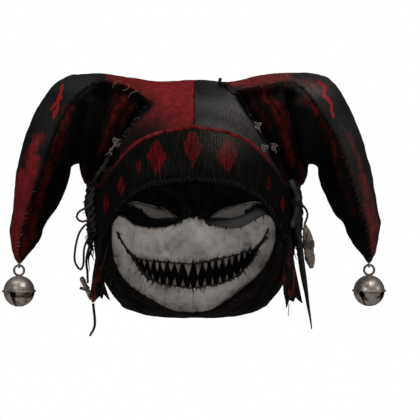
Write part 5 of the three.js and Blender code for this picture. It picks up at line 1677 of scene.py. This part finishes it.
# %% Laces
def on_hat(line, steps, lift):
    fine = smooth_line(line, steps)
    found = [touch(c, r, lift) for c, r in fine]
    return np.array([p for p in found if p is not None])


def knot_mesh(middle, size, seed):
    """A tangle of cord: a three-lobed knot with two loose ends."""
    random = np.random.default_rng(seed)
    a = np.linspace(0, 2 * np.pi, 72) + seed
    line = [np.sin(a) + 2 * np.sin(2 * a), -0.8 * np.sin(3 * a), np.cos(a) - 2 * np.cos(2 * a)]
    line = np.stack(line, -1) / 2.4
    line = line * (1 + 0.18 * np.sin(5 * a + seed))[:, None]
    tails = []
    for _ in range(2):
        d = random.normal(size=3) * [1, 0.3, 1]
        d /= np.linalg.norm(d)
        f = np.linspace(0, 1, 10)[:, None]
        drop = f**2 * np.array([0, 0.2, -0.9])
        end = middle + size * (0.6 * d + f * d * 1.5 + drop)
        tails.append(rope_mesh(end, size * (0.28 - 0.12 * f[:, 0]), sides=6))
    return joined([rope_mesh(middle + line * size, size * 0.3, sides=8), *tails])


# The line of each lace and the places of its knots.
LACES = {
    "left": ([(149, 103), (138, 119), (128, 131), (120, 143), (112, 154), (106, 166), (99, 178), (93, 188)],
             [(119, 143), (114, 151)]),
    "right": ([(232, 89), (240, 97), (248, 114), (256, 127), (264, 140), (273, 148), (281, 162), (288, 174),
               (293, 183)], [(256, 126), (263, 148), (272, 146)]),
}
for side, (line, knots_at) in LACES.items():
    path = on_hat(line, 90, 0.0011)
    path[1:-1] = (path[:-2] + path[1:-1] * 2 + path[2:]) / 4
    thin = 0.00065 + 0.0003 * np.abs(lumps(path, 0.006, 19))
    points, faces = rope_mesh(path, thin, sides=10, strands=3, twist=260.0)
    piece(f"pressed_lace_{side}", points, faces, hem_thread, replaces=[f"lace_{side}"], slot="cord")
    size = 0.0040 if side == "left" else 0.0029
    meshes = [knot_mesh(touch(c, r, 0.0018), size, 40 + k) for k, (c, r) in enumerate(knots_at)]
    rng = np.random.default_rng(31)
    for k in range(12, 80, 7):
        start = path[min(k, len(path) - 2)]
        side_way = rng.normal(size=3) * [1, 0.1, 0.6]
        f = np.linspace(0, 1, 7)[:, None]
        meshes.append(rope_mesh(start + f * side_way * 0.0022 + f * (0, -0.0006, 0), 0.00025, sides=5))
    points, faces = joined(meshes)
    piece(f"lace_knots_{side}", points, faces, thread, slot="cord")

# The stiff end of a strap that sticks up from the crown.
base = touch(229, 89, 0.0016)
peak = [touch(234, 95, 0.001), base, touch(224, 85.5, 0.002)]
peak += [np.array(seen(219.5, 84, base[1])), np.array(seen(220.5, 78, base[1] - 0.001))]
points, faces = rope_mesh(smooth_line(peak, 24), np.linspace(0.0030, 0.0021, 25), sides=10, flat=0.75)
piece("stiff_lace_tip", points, faces, leather, replaces=["lace_end"], slot="black_cloth",
      marks={"red": 0})

# %% [markdown]
# ## Whip stitches
# Thread crosses the long seams at a slant, every few millimetres, and large curved stitches hold the
# overhanging edge on the left. Each stitch is a short bent tube that dips into the cloth at both ends.


# %% Whip stitches
def whip(line, every, reach, lean, lift=0.0006, wire=0.00032, seed=1, skip=0.0):
    random = np.random.default_rng(seed)
    fine = smooth_line(line, 400)
    run = np.concatenate([[0], np.cumsum(np.hypot(*np.diff(fine, axis=0).T))])
    made = []
    for d in np.arange(every, run[-1] - every, every):
        if random.random() < skip:
            continue
        k = int(np.searchsorted(run, d + random.uniform(-0.25, 0.25) * every))
        k = min(max(k, 2), len(fine) - 3)
        c, r = fine[k]
        tx, ty = fine[k + 2] - fine[k - 2]
        size = math.hypot(tx, ty) + 1e-9
        tx, ty = tx / size, ty / size
        nx, ny = -ty + lean * tx, tx + lean * ty
        long = reach * random.uniform(0.75, 1.25)
        path = []
        for f in np.linspace(-1, 1, 7):
            spot = touch(c + nx * long * f, r + ny * long * f, lift * (1.5 - 1.4 * f * f))
            if spot is not None:
                path.append(spot)
        if len(path) == 7:
            made.append(rope_mesh(smooth_line(path, 10), wire * random.uniform(0.8, 1.2), sides=5))
    return made


pale = whip(LONG_SEAM["left"][6:], 5.5, 1.5, 0.5, seed=2, skip=0.45)
pale += whip([(19, 240), (18, 252), (18, 258)], 2.6, 1.6, 0.2, seed=9, skip=0.2)
pale += whip(CROWN_SEAM["left"], 7.0, 1.6, 0.4, seed=4, skip=0.4)
# Large curved stitches over the left edge, as three places each, and the loose threads on the band.
ARCS = [[(113, 88), (116, 82), (122, 82)], [(123, 90.5), (128, 89), (129.5, 84)],
        [(128, 98), (132, 93), (138, 91.5)]]
THREADS = [[(117, 175), (121, 184), (125, 190)], [(118, 184), (124, 177)],
           [(118, 165), (119.5, 171), (117.5, 176)]]
for places in ARCS:
    arc = [touch(*place, 0.0009) for place in smooth_line(places, 12)]
    pale.append(rope_mesh(np.array([p for p in arc if p is not None]), 0.00036, sides=6))
pale += whip([(276, 76), (288, 77), (296, 82), (304, 89)], 5, 1.6, 0.4, seed=6, skip=0.2)
band_front = tree_of(knit_band)
for line in THREADS:
    path = []
    for c, r in smooth_line(line, 10):
        hit = band_front.ray_cast(EYE, ray_to(c, r))[0]
        if hit is not None:
            path.append(np.array(hit) + (0, -0.0006, 0))
    pale.append(rope_mesh(np.array(path), 0.00033, sides=5))
points, faces = joined(pale)
piece("pale_stitches", points, faces, thread, slot="cord")

reds = whip(LONG_SEAM["right"][4:], 5.2, 2.4, 0.5, wire=0.00029, seed=3, skip=0.2)
reds += whip(EDGE["right"], 7.0, 1.5, 0.9, wire=0.00026, seed=5, skip=0.3)
darks = whip(LONG_SEAM["left"], 3.2, 1.6, 0.6, wire=0.0004, seed=12, skip=0.1)
darks += whip(LONG_SEAM["right"], 3.4, 1.6, 0.6, wire=0.0004, seed=13, skip=0.15)
points, faces = joined(darks)
piece("dark_stitches", points, faces, hem_thread, slot="cord")
points, faces = joined(reds)
piece("red_stitches", points, faces, red_thread, slot="red_cloth")
print("stitches", len(pale), "pale and", len(reds), "red")

# %% [markdown]
# ## Ear knots, strips and strap
# At each ear strips of torn cloth are tied in a lump. It is plaited here from several strands that wind
# round one another, with short torn ends. The hanging strips are flat sheets with a ragged lower edge.


# %% Ear knots
def plait(line, strands, spread, radius, turns, seed):
    random = np.random.default_rng(seed)
    path = smooth_line(line, 60)
    f = np.linspace(0, 1, 61)
    out = np.array([0.0, -1.0, 0.0])
    side = np.array([1.0, 0.0, 0.0])
    made = []
    for k in range(strands):
        a = 2 * np.pi * (k / strands + turns * f) + random.uniform(-0.4, 0.4)
        wide = spread * (0.65 + 0.45 * np.sin(np.pi * f) + 0.12 * np.cos(9 * f + k))
        p = path + side * (wide * np.cos(a))[:, None] + out * (0.75 * wide * np.sin(a))[:, None]
        p += side * (0.0006 * np.sin(14 * f + 2 * k))[:, None]
        thick = 0.8 + 0.3 * np.sin(np.pi * f + 0.7 * k) + 0.08 * np.sin(40 * f)
        made.append(rope_mesh(p, radius * thick, sides=12, strands=2, twist=120.0))
    return made


def ring_line(middle, wide, high):
    a = np.linspace(0, 2 * np.pi, 30)
    return np.array(middle) + np.stack([wide * np.cos(a), 0.0004 * np.sin(3 * a), high * np.sin(a)], -1)


twisted = []
# One row per turn of the knot: x as a share of the ear's, y and z as shares of the front and the height.
KNOT_ROWS = [[1, -0.347, -0.452], [1.01, -0.382, -0.532], [1, -0.392, -0.597], [0.99, -0.402, -0.645],
             [1, -0.412, -0.685]]
for side, place, spread in (("left", -1.0405, 0.0042), ("right", 1.033, 0.0036)):
    line = [(place * k * HALF_WIDTH, y * FRONT, z * HEIGHT) for k, y, z in KNOT_ROWS]
    meshes = plait(line, 5, spread, 0.0026, 1.6, 50)
    meshes += plait([np.array(line[0]) + (0, 0, 0.006), line[1], line[2]], 3, spread * 1.15, 0.0020, -1.1, 51)
    rng = np.random.default_rng(52 if side == "left" else 53)
    for _ in range(18):
        start = np.array(line[rng.integers(0, 5)]) + rng.uniform(-1, 1, 3) * [0.005, 0.003, 0.004]
        drift = np.array([rng.uniform(-0.006, 0.006), rng.uniform(-0.003, 0.001), -rng.uniform(0.008, 0.030)])
        f = np.linspace(0, 1, 14)[:, None]
        sway = np.array([1, 0, 0]) * 0.0015 * np.sin(5 * f + start[0] * 900)
        meshes.append(rope_mesh(start + drift * f + sway, (0.0014 - 0.0011 * f[:, 0]), sides=7, flat=0.5))
    for k in range(2):
        rag = [np.array(p) + (0.0015 * k, -0.0045, 0) for p in line[:4]]
        twisted.append(plait(rag, 2, 0.0024, 0.0013, 2.2 + k, 60 + k))
    points, faces = joined(meshes)
    tone = lumps(points, 0.006, 20)
    reddish = 0.35 * ease(lumps(points, 0.012, 21), 0.1, 0.5)
    piece(f"knotted_strips_{side}", points, faces, rag_felt, replaces=[f"ear_knot_{side}"], slot="black_cloth",
          marks={"red": reddish, "shade": 0.35 * ease(-tone, 0, 0.5), "bright": 0,
                 "wear_and_sheen": 0.5 * ease(tone, -0.1, 0.5), "gloss": 0.4})


rag_line = [touch(c, r, 0.0022) for c, r in smooth_line([(113, 150), (105, 165), (98, 177), (91, 187)], 14)]
rag_line = [p for p in rag_line if p is not None]
twisted.append(plait(rag_line, 3, 0.0019, 0.0012, 2.5, 64))
points, faces = joined([mesh for bundle in twisted for mesh in bundle])
piece("twisted_rags", points, faces, rag_twist, slot="cord")

# The smooth cloth tied over the strap at the right ear, with two small loops. A painted highlight down its
# middle makes it grey, with painted shade at its edges.
TIE = [(290.5, 180), (295, 189), (297.5, 198), (297.5, 208), (294.5, 218), (292, 228)]
tie_line = smooth_line([seen(c, r, -0.0535) for c, r in TIE], 60)
f = np.linspace(0, 1, 61)
swell = 0.0024 + 0.0016 * np.sin(np.pi * f) ** 0.7 + 0.0010 * np.sin(14 * f + 1)
points, faces = rope_mesh(tie_line, swell, sides=22, flat=0.8)
points = points + lumps(points * [1, 1, 0.4], 0.004, 35)[:, None] * [0.0007, 0.0007, 0.0002]
shine = np.exp(-((away(TIE, *picture(points)) / 1.9) ** 2)) * ease(lumps(points, 0.009, 36), -0.5, 0.3)
piece("satin_tie", points, faces, satin_felt, slot="black_cloth",
      marks={"red": 0, "bright": 0, "shade": 0.4 * (1 - shine), "wear_and_sheen": 0.95 * shine, "gloss": 0.6})
small = [ring_line(seen(c, r, -0.0595), 0.0024, 0.0033) for c, r in ((294.5, 203), (300, 204))]
points, faces = joined([rope_mesh(line, 0.0008, sides=8) for line in small])
piece("tie_loops", points, faces, hem_thread, slot="cord")


# %% Torn strips
def area_of(points):
    """The area of a sheet of columns and rows of points."""
    corner = points[:-1, :-1]
    return np.linalg.norm(np.cross(points[1:, :-1] - corner, points[:-1, 1:] - corner), axis=-1).sum()


def strip(name, left, right, top_row, ragged, depth, flat, nodes, sway=0.003, seed=1, tint=0.8):
    """A torn sheet between two edge lines of (column, row), with a ragged lower edge."""
    columns, rows = 44, 90
    left, right = np.array(left, float), np.array(right, float)
    u = np.linspace(0, 1, columns)[:, None] + np.zeros(rows)
    v = np.linspace(0, 1, rows) + np.zeros(columns)[:, None]
    low = np.interp(u[:, 0], *np.array(ragged).T)[:, None]
    row = top_row + (low - top_row) * v
    a = np.interp(row, left[:, 1], left[:, 0])
    b = np.interp(row, right[:, 1], right[:, 0])
    column = a + (b - a) * u
    sheet_depth = depth + sway * np.sin(2.2 * np.pi * u + 1.1 + 1.4 * v) * (0.25 + 0.75 * v) * (0.4 + 0.6 * v)
    spots = np.stack([column / 900, row / 900, 0 * row], -1)
    sheet_depth = sheet_depth + 0.0006 * lumps(spots, 0.006, seed)
    points = seen_points(column, row, sheet_depth)
    streak = 0.6 * lumps(spots * [1, 0.22, 1], 0.0017, seed + 1)
    streak = streak + 0.6 * lumps(spots * [1, 0.4, 1], 0.006, seed + 2)
    marks = {
        "red": tint * ease(streak, -0.25, 0.35),
        "shade": np.clip(0.45 * ease(-streak, 0.0, 0.5) + 0.3 * (1 - ease(v, 0.0, 0.2)), 0, 0.9),
        "bright": 0 * u, "wear_and_sheen": 0.2 * ease(streak, 0.2, 0.6), "gloss": 0.3 + 0 * u,
    }
    made = grid(name, points, rag_felt, replaces=nodes, slot="red_cloth", marks=marks, wall=0.0011)
    area = area_of(points)
    wide, long = flat
    print(name, "area", round(area * 1e6), "mm2 of", round(wide * long * 1e6))
    return made, area


LEFT_RAG = [(0, 300), (0.1, 296), (0.22, 303), (0.36, 299), (0.48, 296), (0.6, 299), (0.72, 294),
            (0.85, 296), (1, 300)]
RIGHT_RAG = [(0, 282), (0.06, 292), (0.14, 308), (0.2, 306), (0.32, 300), (0.5, 302), (0.64, 297),
             (0.8, 300), (1, 303)]
tatter_left, area = strip("torn_strip_left", [(99, 236), (96, 253), (93, 275), (91, 293), (89, 303)],
                          [(104, 236), (103, 250), (102, 270), (105, 285), (110, 300)], 236, LEFT_RAG, -0.0655,
                          (0.020, 0.073), ["tatter_left"], seed=30, tint=0.66)
tatter_right, area = strip("torn_strip_right", [(287, 237), (286, 255), (284, 270), (282.5, 281), (284, 312)],
                           [(292, 237), (293, 252), (295, 266), (299, 285), (303, 305)], 237, RIGHT_RAG, -0.065,
                           (0.020, 0.076), ["tatter_right"], seed=34, tint=0.5)

strand = smooth_line([seen(289, 304, -0.065), seen(288.6, 309, -0.065), seen(288.2, 316, -0.065)], 16)
side_strand = smooth_line([seen(108, 240, -0.064), seen(105, 256, -0.066), seen(101, 270, -0.067)], 20)
points, faces = joined([rope_mesh(strand, 0.0004, sides=5), rope_mesh(side_strand, 0.0005, sides=5)])
piece("loose_threads", points, faces, cord_twist, slot="cord")

# %% [markdown]
# ## Strap
# A long leather strap hangs from the right ear and tapers to a point. It is one sheet between two edges.

# %% Strap
# Left column, right column and row of each level, from the ear down.
rows = [(292, 300, 196), (293, 300.5, 210), (294, 301, 222), (294.8, 301.8, 236), (296.7, 303.3, 250),
        (298.6, 305, 265), (301.2, 307, 280), (304, 308.3, 292), (307, 310, 308), (309.6, 311.5, 320),
        (311, 312.2, 329)]
table = smooth_line(rows, 110)
u = np.linspace(0, 1, 16)
level_rows = table[:, 2:3]
curl = -0.0022 * np.sin(np.pi * u) * np.clip(1 - level_rows / 340, 0, 1) * 3
depth = -0.049 + curl + 0.0012 * np.sin(level_rows / 14)
column = table[:, 0:1] + (table[:, 1:2] - table[:, 0:1]) * u
points = seen_points(column, level_rows + 0 * column, depth)
area = area_of(points)
red_tip = 0.9 * ease(u + 0 * column, 0.78, 0.98) * ease(level_rows, 236, 262)
strap = grid("hanging_strap", points, leather, replaces=["strap_right"], slot="leather",
             marks={"red": red_tip}, wall=0.0013)
print("strap area", round(area * 1e6), "mm2")

# %% [markdown]
# ## Bells
# A jingle bell is two pressed half shells joined at a rim, with round holes joined by slots that cross
# underneath. The shell is lathed from a profile, and the holes and slots are cut with a boolean, which
# leaves clean thin edges that catch the light.


# %% Bell maker
def bell_shell(name, middle, radius, body, node, hole_turns):
    sides, profile = 72, []
    for a in np.radians(np.linspace(90, 4, 40)):
        profile.append((radius * math.cos(a), radius * math.sin(a)))
    profile += [(radius + 0.0003, 0.0012), (radius + 0.0012, 0.0010), (radius + 0.0016, 0.0004),
                (radius + 0.0016, -0.0003),
                (radius + 0.0012, -0.0008), (radius + 0.0002, -0.0011)]
    for a in np.radians(np.linspace(-5, -90, 40)):
        profile.append((radius * math.cos(a), radius * math.sin(a)))
    inner = radius - 0.0012
    for a in np.radians(np.linspace(-90, 90, 50)):
        profile.append((inner * math.cos(a), inner * math.sin(a)))
    rings = []
    for turn in np.linspace(0, 2 * np.pi, sides, endpoint=False):
        x, y = math.cos(turn), math.sin(turn)
        rings.append([(middle[0] + r * x, middle[1] + r * y, middle[2] + z) for r, z in profile])
    mesh = bpy.data.meshes.new(name)
    faces = [tuple(f[::-1]) for f in grid_faces(sides, len(profile), True)]
    mesh.from_pydata([tuple(p) for p in np.array(rings).reshape(-1, 3)], [], faces)
    work = bpy.data.objects.new(name + "_work", mesh)
    bpy.context.scene.collection.objects.link(work)
    weld = work.modifiers.new("weld", "WELD")
    weld.merge_threshold = 1e-6
    cutters = []
    for turn in hole_turns:
        a = math.radians(turn)
        ahead = np.array([math.cos(a), math.sin(a), 0])
        side = np.array([-ahead[1], ahead[0], 0])
        down = np.array([0, 0, -1.0])
        slot = []
        for f in np.linspace(-1, 1, 2):
            for g in (-0.0011, 0.0011):
                for z in (-0.0035, -0.03):
                    slot.append(np.array(middle) + ahead * f * (radius * 0.99) + side * g - down * z)
        box = [(2, 3, 1, 0), (5, 7, 6, 4), (1, 5, 4, 0), (6, 7, 3, 2), (4, 6, 2, 0), (3, 7, 5, 1)]
        cutters.append((slot, box))
        for way in (1, -1):
            ring = []
            for reach in (0.7, 1.3):
                for b in np.linspace(0, 2 * np.pi, 32, endpoint=False):
                    ring.append(np.array(middle) + way * ahead * radius * reach + side * 0.0035 * math.cos(b)
                                + np.array([0, 0, 1]) * (0.0036 * math.sin(b) - 0.0030))
            faces = [(i, (i + 1) % 32, 32 + (i + 1) % 32, 32 + i) for i in range(32)]
            faces += [tuple(range(31, -1, -1)), tuple(range(32, 64))]
            cutters.append((ring, faces))
    tools = []
    for k, (points, faces) in enumerate(cutters):
        cutter_mesh = bpy.data.meshes.new("cutter")
        cutter_mesh.from_pydata([tuple(p) for p in points], [], faces)
        cutter = bpy.data.objects.new("cutter", cutter_mesh)
        bpy.context.scene.collection.objects.link(cutter)
        cut = work.modifiers.new("cut", "BOOLEAN")
        cut.operation, cut.solver, cut.object = "DIFFERENCE", "EXACT", cutter
        tools.append(cutter)
    made = bpy.data.meshes.new_from_object(work.evaluated_get(bpy.context.evaluated_depsgraph_get()))
    for o in [work, *tools]:
        bpy.data.objects.remove(o)
    points = np.array([v.co for v in made.vertices])
    faces = [tuple(p.vertices) for p in made.polygons]
    low = ease(middle[2] - points[:, 2], -0.002, 0.003)
    stain = 0.2 * low + 0.8 * low * ease(lumps(points, 0.0085, 22), 0.08, 0.32)
    stain += 0.5 * ease(lumps(points, 0.005, 26), 0.2, 0.45)
    stain += 0.4 * np.exp(-(((points[:, 2] - middle[2] + 0.001) / 0.0018) ** 2))
    inner_side = np.linalg.norm(points - middle, axis=1) < radius - 0.0006
    stain = np.where(inner_side, 1.0, np.clip(stain, 0, 0.9))
    shell = piece(name, points, faces, metal, replaces=[node], slot="old_metal", body=body,
                  marks={"stain": stain})
    shell.data.polygons.foreach_set("use_smooth", [len(f) > 3 for f in faces])
    shell.data.set_sharp_from_angle(angle=math.radians(38))
    return shell


def ring_mesh(middle, radius, wire, axis, sides=14, steps=64):
    a = np.linspace(0, 2 * np.pi, steps, endpoint=False)
    ways = {"y": ((1, 0, 0), (0, 1, 0)), "x": ((0, 1, 0), (1, 0, 0))}
    u, first = ways[axis]
    line = np.asarray(middle) + radius * (np.cos(a)[:, None] * u + np.sin(a)[:, None] * (0, 0, 1))
    rings = rope_points(np.vstack([line, line[:1]]), wire, sides=sides, first=first)[:-1]
    return rings.reshape(-1, 3), grid_faces(steps, sides, True, True)


# %% Bells, rings and loops
BELL_R, RING_R, RING_WIRE, LOOP_R, LOOP_WIRE = 0.0171, 0.0055, 0.0013, 0.0027, 0.00095
# Turns of the two slots under each bell, in degrees.
HOLE_TURNS = {"left": (-106.4, -17.3), "right": (-125, -37)}
for side, cuts in (("left", HORN_LEFT), ("right", HORN_RIGHT)):
    tip_x = (cuts[-1][0] + cuts[-1][2]) / 2 * HAT
    tip_z = cuts[-1][1] * HEIGHT
    ring_top = tip_z + 0.00035 - 2 * LOOP_R + 0.0011 + 0.00035
    middle = np.array([tip_x, 0, ring_top - 2 * RING_R - 0.0011 - BELL_R + 0.0009])
    body = f"{side}_bell"
    shell = bell_shell(f"shell_{side}", middle, BELL_R, body, f"bell_{side}", HOLE_TURNS[side])
    solder = np.array([[tip_x, 0, middle[2] + BELL_R - 0.001], [tip_x, 0, middle[2] + BELL_R + 0.0007]])
    points, faces = joined([
        ring_mesh((tip_x, 0, ring_top - RING_R), RING_R, RING_WIRE, "y"),
        rope_mesh(solder, 0.0024, sides=20),
    ])
    piece(f"bell_ring_{side}", points, faces, metal, slot="old_metal", body=body,
          marks={"stain": 0.7 + 0.25 * lumps(points, 0.004, 23)})
    loop_z = tip_z + 0.00035 - LOOP_R - LOOP_WIRE
    stem = [[tip_x, 0, loop_z + LOOP_R - 0.0004], [tip_x, 0.001, tip_z + 0.004], [tip_x, 0.002, tip_z + 0.0098]]
    collar = np.array([[tip_x, -0.0002, tip_z - 0.0004], [tip_x, 0, tip_z + 0.0045]])
    points, faces = joined([
        ring_mesh((tip_x, 0, loop_z), LOOP_R, LOOP_WIRE, "x"),
        rope_mesh(smooth_line(stem, 10), 0.0012, sides=10),
        rope_mesh(smooth_line(collar, 10), np.linspace(0.0019, 0.0026, 11), sides=14),
    ])
    piece(f"tip_loop_{side}", points, faces, metal, replaces=[f"bell_loop_{side}"], slot="old_metal",
          marks={"stain": 0.35 + 0.3 * lumps(points, 0.003, 24)})
    print("bell", side, "middle", np.round(middle, 4))

# %% [markdown]
# ## Floor and light
# A plain pale floor and backdrop, an even dome of light and four soft lamps. The strongest two stand in
# front and above on the right, which lays the broad sheen on the right of the crown and the band.

# %% Stage and lights
world = bpy.data.worlds.new("studio")
bpy.context.scene.world = world
world.use_nodes = True
t = Tree(world.node_tree)
dome = t.add("ShaderNodeBackground", {"Color": (1, 1, 1, 1), "Strength": 0.055})
plain = t.add("ShaderNodeBackground", {"Color": (1, 1, 1, 1), "Strength": 1.0})
to_camera = t.add("ShaderNodeLightPath").outputs["Is Camera Ray"]
pick = t.add("ShaderNodeMixShader", {0: to_camera, 1: dome.outputs[0], 2: plain.outputs[0]})
out = t.add("ShaderNodeOutputWorld")
t.tree.links.new(pick.outputs[0], out.inputs["Surface"])

floor_paint = bpy.data.materials.new("floor_paint")
floor_paint.use_nodes = True
t = Tree(floor_paint.node_tree)
matt = t.add("ShaderNodeBsdfDiffuse", {"Color": (0.9, 0.9, 0.9, 1)})
white = t.add("ShaderNodeEmission", {"Color": (1, 1, 1, 1), "Strength": 1.0})
to_camera = t.add("ShaderNodeLightPath").outputs["Is Camera Ray"]
pick = t.add("ShaderNodeMixShader", {0: to_camera, 1: matt.outputs[0], 2: white.outputs[0]})
out = t.add("ShaderNodeOutputMaterial")
t.tree.links.new(pick.outputs[0], out.inputs["Surface"])
floor_mesh = bpy.data.meshes.new("floor")
floor_mesh.from_pydata([(-6, -3, -0.6), (6, -3, -0.6), (6, 9, -0.6), (-6, 9, -0.6)], [], [(0, 1, 2, 3)])
floor_mesh.materials.append(floor_paint)
floor = bpy.data.objects.new("floor", floor_mesh)
bpy.context.scene.collection.objects.link(floor)


def lamp(name, place, target, size, power, colour=(1, 1, 1)):
    light = bpy.data.lights.new(name, "AREA")
    light.shape, light.size, light.energy, light.color = "DISK", size, power, colour
    made = bpy.data.objects.new(name, light)
    made.location = place
    made.rotation_euler = (Vector(target) - Vector(place)).to_track_quat("-Z", "Y").to_euler()
    bpy.context.scene.collection.objects.link(made)
    return made


lamp("front", (-0.55, -1.3, 0.10), (0, -0.05, -0.14), 0.6, 4.3)
lamp("key", (0.52, -0.60, 0.85), (0.03, -0.05, -0.05), 0.36, 4.4)
lamp("top_left", (-0.5, -0.3, 0.95), (-0.05, 0, 0), 0.45, 3.2)
lamp("side", (1.05, -0.5, 0.0), (0.05, -0.05, -0.13), 0.35, 1.0)

scene = bpy.context.scene
scene.view_settings.view_transform = "Standard"
scene.view_settings.look = "None"
scene.view_settings.exposure = 0.0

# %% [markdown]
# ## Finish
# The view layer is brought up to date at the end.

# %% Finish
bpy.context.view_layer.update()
